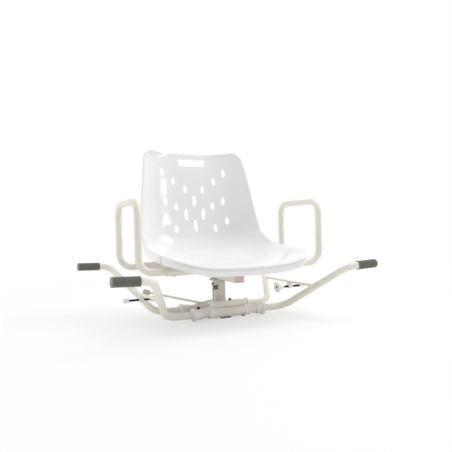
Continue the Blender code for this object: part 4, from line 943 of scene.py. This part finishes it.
class CHAIR_OT_sockets(bpy.types.Operator):
    """Build the two socket tubes with their drain holes, and the armrests' screws"""
    bl_idname = "bath_chair.sockets"
    bl_label = "Socket tubes"
    bl_options = {"REGISTER", "UNDO"}

    def execute(self, context):
        tube = ring(SOCKET_BORE, SOCKET_RADIUS, -SOCKET_HALF, SOCKET_HALF, 0.0006)
        low = SOCKET_Z - SOCKET_RADIUS
        screw = turned(eased([(0, low - 0.0023), (0.0022, low - 0.0023), (0.0035, low - 0.0012),
                              (0.0035, low - GAP), (0.0025, low - GAP), (0.0025, low + 0.0022),
                              (0, low + 0.0022)], 0.0004), AROUND_SMALL)
        for end, y in SOCKET_YS.items():
            mesh = mesh_of(end + "_socket", [moved(tube, shift(0, y, SOCKET_Z) @ along_x())])
            holes = []
            for side, sign in BOTH_SIDES:
                for x, radius in ((SOCKET_DRAIN_X, SOCKET_DRAIN_RADIUS),
                                  (REST_SCREW_X, REST_SCREW_HOLE)):
                    drill = rod(radius, -SOCKET_HOLE_DEPTH, 0, 0.0001)
                    holes.append(moved(drill, shift(sign * x, y, SOCKET_Z)))
                name = f"{end}_{side}_armrest_screw"
                add_piece(name + "_head", [screw], "yellow_zinc", "seat", name,
                          place=shift(sign * REST_SCREW_X, y, 0))
            add_piece(end + "_socket", cut(end + "_socket", mesh, holes), "satin_powder_coat",
                      "seat", end + "_socket_tube")
        return {"FINISHED"}


def notched_disc():
    """The index plate: a disc whose edge steps in at even turns to round notches for the pin.

    With d the pin's distance and h the notch's radius, the notch's edge at an angle f from its
    middle is d cos f - the root of h squared - (d sin f) squared."""
    across, back = PIN_AT[0], PIN_AT[1] - SWIVEL_Y
    reach, start = math.hypot(across, back), math.atan2(back, across)
    notch = PIN_RADIUS + NOTCH_PLAY
    limit = math.asin(notch / reach)
    apart = math.tau / INDEX_NOTCHES
    swing = np.concatenate([limit * np.sin(np.linspace(-math.pi / 2, math.pi / 2, NOTCH_STEPS)),
                            np.linspace(limit * 1.02, apart - limit * 1.02, 8)])
    inside = np.clip(notch ** 2 - (reach * np.sin(swing)) ** 2, 0, None)
    edge = np.where(np.arange(len(swing)) < NOTCH_STEPS, reach * np.cos(swing) - np.sqrt(inside),
                    INDEX_RADIUS)
    edge[[0, NOTCH_STEPS - 1]] = reach * math.cos(limit)
    edge = np.tile(edge, INDEX_NOTCHES)
    angle = (start + np.arange(INDEX_NOTCHES)[:, None] * apart + swing).ravel()
    hole = SPINDLE_RADIUS + GAP
    low, high = INDEX_LEVELS
    radius = hole + (edge - hole) * np.array([[0.0], [1.0], [1.0], [0.0]])
    return skin(polar(radius, angle, np.array([[low], [low], [high], [high]])), wrap_rows=True)


class CHAIR_OT_carrier(bpy.types.Operator):
    """Build the carrier bar, its plugs and welds, the index plate and the bearing washer"""
    bl_idname = "bath_chair.carrier"
    bl_label = "Carrier and swivel"
    bl_options = {"REGISTER", "UNDO"}

    def execute(self, context):
        add_piece("carrier_bar_tube", [block(CARRIER_SIZE, CARRIER_CENTRE, 0.0025)],
                  "satin_powder_coat", "seat", "carrier_bar")
        wide, long, tall = CARRIER_SIZE
        for end, way in BOTH_ENDS:
            face = CARRIER_CENTRE[1] + way * (long / 2 + GAP + PLUG_CAP / 2)
            cap = block((wide, PLUG_CAP, tall), (0, face, CARRIER_CENTRE[2]), 0.0009)
            # Painted shade: the plugs' darker pinkish beige stands for the shadow under the seat
            add_piece(f"carrier_{end}_cap", [cap], "moulded_beige", "seat", f"carrier_{end}_plug")
        weld = context.scene.chair_sizes.weld
        welds = [trim_weld(y + way * TRIM_WELD_OFF, weld) for y in SOCKET_YS.values()
                 for way in (-1, 1)]
        add_piece("socket_welds", welds, "satin_powder_coat", "seat")
        swivel_at = shift(0, SWIVEL_Y, 0)
        add_piece("index_disc", [notched_disc()], "zinc_plate", "seat", "index_plate",
                  place=swivel_at)
        bearing = ring(SPINDLE_RADIUS + GAP, BEARING_RADIUS, POST_TOP + GAP, INDEX_LEVELS[0] - GAP)
        add_piece("bearing_ring", [bearing], "turned_nylon", "base", "bearing_washer",
                  place=swivel_at)
        keep_node("swivel_spindle", "zinc_plate")
        return {"FINISHED"}


class CHAIR_OT_beams(bpy.types.Operator):
    """Build the two low beams: sleeves, inner tubes, clamp collars and flanged ferrules"""
    bl_idname = "bath_chair.beams"
    bl_label = "Beams"
    bl_options = {"REGISTER", "UNDO"}

    def execute(self, context):
        inner = ring(ARM_BORE, INNER_TUBE_RADIUS, -INNER_TUBE_HALF, INNER_TUBE_HALF)
        sleeve = ring(TUBE_SEAT, SLEEVE_RADIUS, -SLEEVE_HALF, SLEEVE_HALF, 0.0008)
        # A clamp collar has two raised bands with a shallow waist
        band, waist, last = COLLAR_RADIUS, COLLAR_RADIUS - 0.0008, COLLAR_LENGTH
        profile = [(TUBE_SEAT, 0), (band, 0), (band, 0.005), (waist, 0.0056),
                   (waist, last - 0.0056), (band, last - 0.005), (band, last), (TUBE_SEAT, last)]
        collar = turned(eased(profile, 0.0007, closed=True), closed=True)
        # An end ferrule has a body and a wider flange
        step = FERRULE_LENGTH - FLANGE_LENGTH
        profile = [(TUBE_SEAT, 0), (FERRULE_RADIUS, 0), (FERRULE_RADIUS, step - 0.0015),
                   (FLANGE_RADIUS, step), (FLANGE_RADIUS, FERRULE_LENGTH),
                   (ARM_BORE, FERRULE_LENGTH), (ARM_BORE, step + GAP), (TUBE_SEAT, step + GAP)]
        reach = [0.0006, 0.0008, 0.001, 0.0012, 0.0016, 0.0004, 0.0003, 0.0003]
        ferrule = turned(eased(profile, reach, closed=True), closed=True)
        for end, way in BOTH_ENDS:
            y = way * BEAM_Y
            beam_at = shift(0, y, BEAM_Z) @ along_x()
            add_piece(end + "_inner_beam", [inner], "satin_powder_coat", "base",
                      end + "_inner_tube", place=beam_at)
            add_piece(end + "_beam_sleeve", [sleeve], "satin_powder_coat", "base",
                      end + "_sleeve", place=beam_at)
            # Painted shade: a grey rubber pad under the sleeve darkens the gap where its contact
            # shadow falls
            pad = block(SHADE_PAD_SIZE, (SHADE_PAD_X, y, SHADE_PAD_SIZE[2] / 2 + SHADE_PAD_LIFT), 0.0008)
            add_piece(end + "_foot_pad", [pad], "dipped_rubber", "base")
            add_piece(end + "_foot_screw", [hex_head(*FOOT_SCREW, 0.0004)], "oiled_steel", "base",
                      place=shift(FOOT_SCREW_X, y, 0))
            for side, sign in BOTH_SIDES:
                name = f"{end}_{side}"
                add_piece(name + "_clamp_collar", [collar], "moulded_nylon_white", "base",
                          name + "_collar",
                          place=shift(sign * (SLEEVE_HALF + GAP), y, BEAM_Z) @ along_x(sign))
                points, quads = moved(ferrule, shift(sign * FERRULE_START, y, BEAM_Z)
                                      @ along_x(sign))
                points[:, 2] = np.maximum(points[:, 2], 0.0)
                add_piece(name + "_end_ferrule", [(points, quads)], "moulded_nylon_white", "base",
                          name + "_ferrule")
        return {"FINISHED"}


def arm_corners(sign, way):
    """The corners of an arm's centre line on one side, at the front (-1) or the rear (1)."""
    low = np.array([sign * ARM_CORNER_X, way * BEAM_Y, BEAM_Z])
    high = low + np.array([sign * ARM_RISE[0], way * ARM_RISE[1], ARM_RISE[2]])
    reach = GRIP_END_X - GRIP_END_WALL - GAP - abs(high[0])
    tip = high + np.array([sign * reach, 0, reach * math.tan(GRIP_TILT)])
    return np.array([[sign * ARM_INNER_END, way * BEAM_Y, BEAM_Z], low, high, tip])


def where_met(points, way, on_axis, axis, radius):
    """Points moved along a way until they lie on a round tube: the larger root t of
    |(p + t way - on_axis) x axis| = radius."""
    start = np.cross(points - on_axis, axis)
    pace = np.cross(way, axis)
    square, half = pace @ pace, start @ pace
    apart = half ** 2 - square * ((start ** 2).sum(axis=1) - radius ** 2)
    t = (-half + np.sqrt(np.maximum(apart, 0))) / square
    return points + t[:, None] * way


def add_grip(sizes, name, body, corners):
    """A grip made about Z: a plain mouth band, then ribs whose radius falls by a rounded comb, the
    absolute sine of the height over the pitch to the power 0.6, and a paler domed end."""
    long = (GRIP_END_X - GRIP_START_X) / math.cos(GRIP_TILT)
    first, last, shoulder = GRIP_BAND, long - GRIP_BAND, long - GRIP_DOME
    low_radius = GRIP_RADIUS - sizes.rib_depth
    z = np.linspace(first, last, int((last - first) / sizes.rib_pitch * 8))
    comb = np.abs(np.sin((z - first) / sizes.rib_pitch * math.pi)) ** 0.6
    ribs = np.stack([GRIP_RADIUS - sizes.rib_depth * (1 - comb), z], axis=-1)
    mouth = eased([(ARM_BORE, 0.004), (ARM_BORE, 0), (GRIP_RADIUS, 0), (GRIP_RADIUS, 0.0055),
                   (low_radius, 0.0062)], 0.0009)
    rest = [(low_radius, last + 0.0004), (GRIP_RADIUS, last + 0.001), (GRIP_RADIUS, shoulder),
            (ARM_BORE, shoulder), (ARM_BORE, 0.004)]
    run = corners[3] - corners[2]
    mouth_at = corners[2] + run * (GRIP_START_X - abs(corners[2][0])) / abs(run[0])
    place = shift(*mouth_at) @ Vector(run).to_track_quat("Z", "X").to_matrix().to_4x4()
    grip = turned(np.concatenate([mouth, ribs, rest]), closed=True)
    add_piece(name + "_grip_sleeve", [grip], "dipped_rubber", body, name + "_grip", place=place)
    angle = np.linspace(0, math.pi / 2, 7)
    dome = np.stack([GRIP_RADIUS - GRIP_DOME + GRIP_DOME * np.cos(angle),
                     shoulder + GRIP_DOME * np.sin(angle)], axis=-1)
    face = [(GRIP_RADIUS - 0.0036, long), (GRIP_RADIUS - 0.0040, long - 0.0004), (0, long - 0.0004)]
    end = turned(np.concatenate([[(0, shoulder), (GRIP_RADIUS, shoulder)], dome, face]))
    add_piece(name + "_grip_end", [end], "cut_rubber", body, place=place)


class CHAIR_OT_side_frames(bpy.types.Operator):
    """Build the four arms, their ribbed grips, and the braces with their bosses and welds"""
    bl_idname = "bath_chair.side_frames"
    bl_label = "Side frames"
    bl_options = {"REGISTER", "UNDO"}

    def execute(self, context):
        sizes = context.scene.chair_sizes
        for side, sign in BOTH_SIDES:
            body = side + "_frame"
            ends, slopes = [], []
            for end, way in BOTH_ENDS:
                name = f"{side}_{end}"
                corners = arm_corners(sign, way)
                arm = swept(bent_route(corners, ARM_BENDS), ARM_RADIUS, ARM_WALL, (0, 0, 1))
                add_piece(name + "_arm_tube", [arm], "satin_powder_coat", body, name + "_arm")
                add_grip(sizes, name, body, corners)
                ends.append(corners[1] + (corners[2] - corners[1]) * BRACE_SHARE)
                slopes.append(unit(corners[2] - corners[1]))
            middle = np.array(BRACE_MIDDLE) * (sign, 1, 1)
            boss = block(BOSS_SIZE, (middle[0], 0, BOSS_TOP - BOSS_SIZE[2] / 2), 0.0012)
            route = bent_route([ends[0], middle, ends[1]], BRACE_BEND, 24)
            runs = [unit(route[1] - route[0]), unit(route[-2] - route[-1])]
            welds = []
            for here, run, slope in zip(ends, runs, slopes):
                mouth = circles(np.array([here, here + run]), BRACE_RADIUS, (0, 0, 1), 48)[0]
                loop = where_met(mouth, run, here, slope, ARM_RADIUS)
                welds.append(bead(loop, sizes.weld, ripples=14))
            # The brace starts and ends just inside the arms' walls
            route[0] += runs[0] * ARM_RADIUS * 0.9
            route[-1] += runs[1] * ARM_RADIUS * 0.9
            brace = swept(route, BRACE_RADIUS, 0, (0, 0, 1), AROUND_SMALL)
            add_piece(side + "_brace_bar", [brace, boss] + welds, "satin_powder_coat", body,
                      side + "_brace")
        return {"FINISHED"}


class CHAIR_OT_adjusters(bpy.types.Operator):
    """Build the adjusters: threaded rods, fluted knobs and pads"""
    bl_idname = "bath_chair.adjusters"
    bl_label = "Adjusters"
    bl_options = {"REGISTER", "UNDO"}

    def execute(self, context):
        sizes = context.scene.chair_sizes
        screw = threaded(ROD_RADIUS, *ROD_ENDS, sizes.thread_pitch, sizes.thread_depth)
        bore = ROD_RADIUS + GAP
        rim_end = KNOB_FACE_X + KNOB_RIM
        recess = KNOB_FACE_X + KNOB_RECESS
        profile = eased([(bore, recess), (0.0075, recess),
                         (0.0085, KNOB_FACE_X), (KNOB_RADIUS, KNOB_FACE_X), (KNOB_RADIUS, rim_end),
                         (KNOB_HUB_RADIUS, rim_end + KNOB_SHOULDER),
                         (KNOB_HUB_RADIUS - 0.0005, KNOB_END_X), (bore, KNOB_END_X)],
                        0.0014, 4, closed=True)
        # The rim's lobes are cosines of the angle that fade towards the hub
        angle = around(KNOB_STEPS)
        wide = (profile[:, :1] - KNOB_LOBES_FROM) / (KNOB_RADIUS - KNOB_LOBES_FROM)
        flutes = sizes.flute_depth * (0.5 + 0.5 * np.cos(angle * KNOB_LOBES)) ** 2
        lobes = 1 - np.clip(wide, 0, 1) * flutes
        knob = skin(polar(profile[:, :1] * lobes, angle, profile[:, 1:]), wrap_rows=True)
        start, last = PAD_ENDS
        stop = ROD_ENDS[1] + GAP
        pad = eased([(bore, start), (PAD_RADIUS - 0.0012, start), (PAD_RADIUS, start + 0.002),
                     (PAD_RADIUS, last - 0.004), (PAD_RADIUS - 0.0004, last - 0.0036),
                     (PAD_RADIUS, last - 0.0032), (PAD_RADIUS, last), (0, last), (0, stop),
                     (bore, stop)], 0.0006, 3, closed=True)
        foot = turned(np.maximum(pad, 0.0), closed=True)
        for side, sign in BOTH_SIDES:
            place = shift(0, 0, ROD_Z) @ along_x(sign)
            body = side + "_screw"
            add_piece(side + "_threaded_rod", [screw], "black_oxide", body,
                      side + "_adjuster_screw", place=place)
            add_piece(side + "_knob", [knob], "moulded_nylon_white", body,
                      side + "_adjuster_knob", place=place)
            add_piece(side + "_pad_foot", [foot], "moulded_nylon_white", side + "_pad",
                      side + "_adjuster_pad", place=place)
        return {"FINISHED"}


class CHAIR_OT_base(bpy.types.Operator):
    """Build the post, the front bar with its plugs and bolt, and dress the base plate"""
    bl_idname = "bath_chair.base"
    bl_label = "Base"
    bl_options = {"REGISTER", "UNDO"}

    def execute(self, context):
        keep_node("base_plate", "satin_powder_coat")
        wide, deep = POST_SIZE
        post = block((wide, deep, POST_TOP - POST_BOTTOM),
                     (0, SWIVEL_Y, (POST_TOP + POST_BOTTOM) / 2), 0.002)
        x, front = PIN_AT[0], SWIVEL_Y - deep / 2
        low, high = GUIDE_LEVELS
        long, out, thick = GUIDE_SIZE
        shapes = [post, block((long, 0.003, high + thick - low),
                              (x, front - 0.0015, (low + high + thick) / 2), 0.0006)]
        for level in GUIDE_LEVELS:
            centre = (x, front - out / 2, level + thick / 2)
            shapes.append(block((long, out, thick), centre, 0.0006))
        foot = eased([(-wide / 2, front), (wide / 2, front), (wide / 2, front + deep),
                      (-wide / 2, front + deep)], 0.002, 6, closed=True)
        steps = np.linspace(0, len(foot), POST_WELD_STEPS, endpoint=False)
        near = steps.astype(int)
        part = (steps - near)[:, None]
        foot = foot[near] * (1 - part) + foot[(near + 1) % len(foot)] * part
        loop = np.column_stack([foot, np.full(len(foot), PLATE_TOP + 0.0006)])
        shapes.append(bead(loop, context.scene.chair_sizes.weld, ripples=44))
        add_piece("post_column", shapes, "satin_powder_coat", "base", "post")

        add_piece("front_bar_tube", [block(BAR_SIZE, BAR_CENTRE, 0.0022)], "satin_powder_coat",
                  "base", "front_bar")
        for side, sign in BOTH_SIDES:
            cap = block((PLUG_CAP, *BAR_SIZE[1:]),
                        (sign * (BAR_SIZE[0] / 2 + GAP + PLUG_CAP / 2), *BAR_CENTRE[1:]), 0.0009)
            add_piece(f"front_bar_{side}_cap", [cap], "moulded_nylon_white", "base",
                      f"front_bar_{side}_plug")
        bolt_at = shift(*BAR_BOLT, 0)
        washer = ring(0.0028, 0.0060, BAR_TOP + GAP, BAR_TOP + 0.0015, 0.0003)
        add_piece("front_bar_brass_washer", [washer], "yellow_zinc", "base", "front_bar_washer",
                  place=bolt_at)
        seat_z = BAR_TOP + 0.0018
        head = hex_head(BOLT_HEAD_RADIUS, seat_z, seat_z + BOLT_HEAD_HEIGHT)
        shank = rod(BOLT_SHANK_RADIUS, 0.0140, BAR_TOP + 0.0030)
        add_piece("front_bar_hex_bolt", [head, shank], "oiled_steel", "base", "front_bar_bolt",
                  place=bolt_at)
        return {"FINISHED"}


class CHAIR_OT_lever(bpy.types.Operator):
    """Build the release lever with its eye and tab, its handle and the pivot bolt"""
    bl_idname = "bath_chair.lever"
    bl_label = "Release lever"
    bl_options = {"REGISTER", "UNDO"}

    def execute(self, context):
        pivot_at = shift(*LEVER_PIVOT) @ Matrix.Rotation(LEVER_TURN, 4, "Z")
        bolt_at = pivot_at @ Matrix.Rotation(math.pi / 2, 4, "X")
        x, y, z = LEVER_EYE
        corners = [(x - LEVER_EYE_RADIUS + 0.0012, y, z), LEVER_LOW, LEVER_TIP]
        route = bent_route(corners, LEVER_BEND)
        bar = swept(route, LEVER_RADIUS, 0, (0, 1, 0), AROUND_SMALL, 0.0004)
        half, half_tab = LEVER_EYE_THICKNESS / 2, LEVER_TAB_THICKNESS / 2
        eye = ring(LEVER_EYE_HOLE, LEVER_EYE_RADIUS, -half, half, 0.0008)
        tab = rod(LEVER_TAB_RADIUS, -half_tab, half_tab, 0.0004, 32)
        web = block((LEVER_WEB_WIDTH, LEVER_TAB_THICKNESS - 0.0002, LEVER_LOW[2]),
                    (0, 0, LEVER_LOW[2] / 2 + 0.001), 0.0004)
        shapes = [moved(bar, pivot_at), moved(eye, pivot_at @ shift(*LEVER_EYE)),
                  moved(tab, bolt_at), moved(web, pivot_at)]
        add_piece("lever_bar", shapes, "satin_powder_coat", "lever", "lever_rod")
        run = (Vector(LEVER_TIP) - Vector(LEVER_LOW)).normalized()
        mouth = Vector(LEVER_TIP) - run * (HANDLE_SIZE[0] - HANDLE_END_WALL - GAP)
        slope = Matrix.Rotation(math.atan2(run.z, -run.x), 4, "Y")
        handle = block(HANDLE_SIZE, (-HANDLE_SIZE[0] / 2, 0, 0), 0.0032, 6)
        # Painted shade: the handle's darker pinkish beige stands for the shadow under the seat
        add_piece("lever_knob", [handle], "moulded_beige", "lever", "lever_handle",
                  place=pivot_at @ shift(*mouth) @ slope)
        shank = rod(BOLT_SHANK_RADIUS, -EAR_OUTER - 0.0063, EAR_OUTER + 0.002)
        seat_z = EAR_OUTER + GAP
        head = hex_head(BOLT_HEAD_RADIUS, seat_z, seat_z + BOLT_HEAD_HEIGHT)
        add_piece("lever_pivot_bolt", [shank, head], "oiled_steel", "base", "lever_bolt",
                  place=bolt_at)
        return {"FINISHED"}


class CHAIR_OT_lock(bpy.types.Operator):
    """Build the lock pin with its yoke, the link rod with its nuts, and the spring"""
    bl_idname = "bath_chair.lock"
    bl_label = "Swivel lock"
    bl_options = {"REGISTER", "UNDO"}

    def execute(self, context):
        pin_x, pin_y = PIN_AT
        turn = Matrix.Rotation(LEVER_TURN, 3, "Z")
        x, y = (Vector(LEVER_PIVOT) + turn @ Vector((LINK_REACH, 0, 0))).xy
        low, high = YOKE_LEVELS
        yoke = block((abs(x - pin_x) + 0.008, YOKE_WIDTH, high - low),
                     ((x + pin_x) / 2, (y + pin_y) / 2, (low + high) / 2), 0.0006)
        pin = moved(rod(PIN_RADIUS, *PIN_LEVELS, 0.0012, 32), shift(pin_x, pin_y, 0))
        add_piece("lock_plunger", [pin, yoke], "zinc_plate", "lock", "lock_pin")
        link_at = shift(x, y, 0)
        stem = threaded(LINK_RADIUS, *LINK_LEVELS, 0.0007, 0.0003, 16)
        add_piece("lock_link", [stem], "zinc_plate", "lock", "link_rod", place=link_at)
        nuts = [hex_head(*LOW_NUT, 0.0005), hex_head(*HIGH_NUT, 0.0004)]
        add_piece("lock_link_nuts", nuts, "oiled_steel", "lock", place=link_at)
        turn = np.linspace(0, math.tau * SPRING_TURNS, SPRING_TURNS * SPRING_STEPS + 1)
        start, last = SPRING_LEVELS
        helix = np.stack([pin_x + SPRING_RADIUS * np.cos(turn),
                          pin_y + SPRING_RADIUS * np.sin(turn),
                          start + (last - start) * turn / turn[-1]], axis=-1)
        coil = swept(helix, SPRING_WIRE, 0, (0, 0, 1), 12, 0.0001)
        spring = add_piece("lock_coil", [coil], "oiled_steel", "base", "lock_spring")
        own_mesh(spring)
        return {"FINISHED"}


def seen(tree):
    """1 where the camera or a reflection looks, and 0 for light."""
    rays = add_node(tree, "ShaderNodeLightPath").outputs
    return add_node(tree, "ShaderNodeMath", {"operation": "MAXIMUM"}, (),
                    {0: rays["Is Camera Ray"], 1: rays["Is Glossy Ray"]}).outputs[0]


def add_floor():
    """A wide pale disc whose paper goes to plain white away from the chair."""
    radius = np.concatenate([[0.0], np.geomspace(0.2, FLOOR_RADIUS, 30)])[:, None]
    angle = around(64)
    mesh = mesh_of("floor", [skin(polar(radius + 0 * angle, angle, 0.0))])
    if mesh.polygons[0].normal.z < 0:
        mesh.flip_normals()
    floor = bpy.data.objects.new("floor", mesh)
    bpy.context.scene.collection.objects.link(floor)
    material = bpy.data.materials.new("studio_paper")
    material.use_nodes = True
    tree = material.node_tree
    shader = tree.nodes["Principled BSDF"]
    shader.inputs["Base Color"].default_value = linear("#F6F6F5")
    shader.inputs["Roughness"].default_value = 0.55
    place = add_node(tree, "ShaderNodeTexCoord").outputs["Object"]
    far = add_node(tree, "ShaderNodeVectorMath", {"operation": "LENGTH"}, links={0: place})
    fade = add_node(tree, "ShaderNodeMapRange", {"interpolation_type": "SMOOTHSTEP"}, FLOOR_FADE,
                    {"Value": far.outputs["Value"]})
    amount = add_node(tree, "ShaderNodeMath", {"operation": "MULTIPLY"}, (),
                      {0: seen(tree), 1: fade.outputs["Result"]})
    glow = add_node(tree, "ShaderNodeEmission")
    mix = add_node(tree, "ShaderNodeMixShader", links={
        0: amount.outputs[0], 1: shader.outputs[0], 2: glow.outputs[0]})
    tree.links.new(mix.outputs[0], tree.nodes["Material Output"].inputs["Surface"])
    mesh.materials.append(material)


def add_room(level):
    """A pale room: plain white where the camera or a reflection looks, and dimmer as a light."""
    world = bpy.data.worlds.new("studio")
    bpy.context.scene.world = world
    world.use_nodes = True
    tree = world.node_tree
    background = tree.nodes["Background"]
    background.inputs["Color"].default_value = (1, 1, 1, 1)
    way = add_node(tree, "ShaderNodeTexCoord").outputs["Generated"]
    ahead = add_node(tree, "ShaderNodeVectorMath", {"operation": "DOT_PRODUCT"},
                     {1: ROOM_DARK_WAY}, {0: way})
    room = add_node(tree, "ShaderNodeMapRange", (),
                    {"From Min": -1.0, "From Max": 1.0, "To Min": level * ROOM_SHARES[0],
                     "To Max": level * ROOM_SHARES[1]}, {"Value": ahead.outputs["Value"]})
    power = add_node(tree, "ShaderNodeMapRange", (), {"To Max": 1.0},
                     {"Value": seen(tree), "To Min": room.outputs["Result"]})
    tree.links.new(power.outputs["Result"], background.inputs["Strength"])


def add_panel(name, power):
    """A soft panel of light, square to the target."""
    azimuth, height, distance, size = PANELS[name]
    turn, up = math.radians(azimuth), math.radians(height)
    way = Vector((math.sin(turn) * math.cos(up), -math.cos(turn) * math.cos(up), math.sin(up)))
    lamp = bpy.data.lights.new(name, "AREA")
    lamp.shape = "RECTANGLE"
    lamp.size, lamp.size_y = size
    lamp.energy = power
    panel = bpy.data.objects.new(name, lamp)
    target = Vector(PANELS_TARGET)
    place = target + way * distance
    facing = (target - place).to_track_quat("-Z", "Y").to_matrix().to_4x4()
    panel.matrix_world = shift(*place) @ facing
    panel.visible_camera = False
    bpy.context.scene.collection.objects.link(panel)


def add_camera():
    """The photograph's camera: its yaw, pitch, roll, place and lens."""
    data = bpy.data.cameras.new("camera")
    data.sensor_width = 36
    data.lens = FOCAL_SHARE * data.sensor_width
    data.clip_start = 0.01
    camera = bpy.data.objects.new("camera", data)
    camera.matrix_world = (shift(*CAMERA_AT) @ Matrix.Rotation(-CAMERA_YAW, 4, "Z")
                           @ Matrix.Rotation(math.pi / 2 - CAMERA_PITCH, 4, "X")
                           @ Matrix.Rotation(-CAMERA_ROLL, 4, "Z"))
    bpy.context.scene.collection.objects.link(camera)
    bpy.context.scene.camera = camera


class CHAIR_OT_stage(bpy.types.Operator):
    """Set the pale floor, the soft studio light and the camera"""
    bl_idname = "bath_chair.stage"
    bl_label = "Studio"
    bl_options = {"REGISTER", "UNDO"}

    def execute(self, context):
        studio = context.scene.chair_studio
        add_floor()
        add_room(studio.room)
        for name in PANELS:
            add_panel(name, getattr(studio, name))
        add_camera()
        context.scene.view_settings.view_transform = "Standard"
        return {"FINISHED"}


class CHAIR_PT_panel(bpy.types.Panel):
    """The chair's pieces, sizes and colours"""
    bl_label = "Bath chair"
    bl_idname = "CHAIR_PT_panel"
    bl_space_type = "VIEW_3D"
    bl_region_type = "UI"
    bl_category = "Bath chair"

    def draw(self, context):
        for operator in OPERATORS:
            self.layout.operator(operator.bl_idname)
        for where, group in GROUPS.items():
            box = self.layout.box()
            for name in group.__annotations__:
                box.prop(getattr(context.scene, where), name)


OPERATORS = (CHAIR_OT_stage, CHAIR_OT_seat, CHAIR_OT_armrests, CHAIR_OT_sockets, CHAIR_OT_carrier,
             CHAIR_OT_beams, CHAIR_OT_side_frames, CHAIR_OT_adjusters, CHAIR_OT_base,
             CHAIR_OT_lever, CHAIR_OT_lock)
GROUPS = {"chair_sizes": ChairSizes, "chair_finishes": ChairFinishes, "chair_studio": ChairStudio}
CLASSES = (*GROUPS.values(), *OPERATORS, CHAIR_PT_panel)


def register():
    for entry in CLASSES:
        bpy.utils.register_class(entry)
    for name, group in GROUPS.items():
        setattr(bpy.types.Scene, name, bpy.props.PointerProperty(type=group))


def unregister():
    for name in GROUPS:
        delattr(bpy.types.Scene, name)
    for entry in reversed(CLASSES):
        bpy.utils.unregister_class(entry)


def main():
    register()
    bpy.ops.bath_chair.stage()
    bpy.ops.bath_chair.seat()
    bpy.ops.bath_chair.armrests()
    bpy.ops.bath_chair.sockets()
    bpy.ops.bath_chair.carrier()
    bpy.ops.bath_chair.beams()
    bpy.ops.bath_chair.side_frames()
    bpy.ops.bath_chair.adjusters()
    bpy.ops.bath_chair.base()
    bpy.ops.bath_chair.lever()
    bpy.ops.bath_chair.lock()


if __name__ == "__main__":
    main()
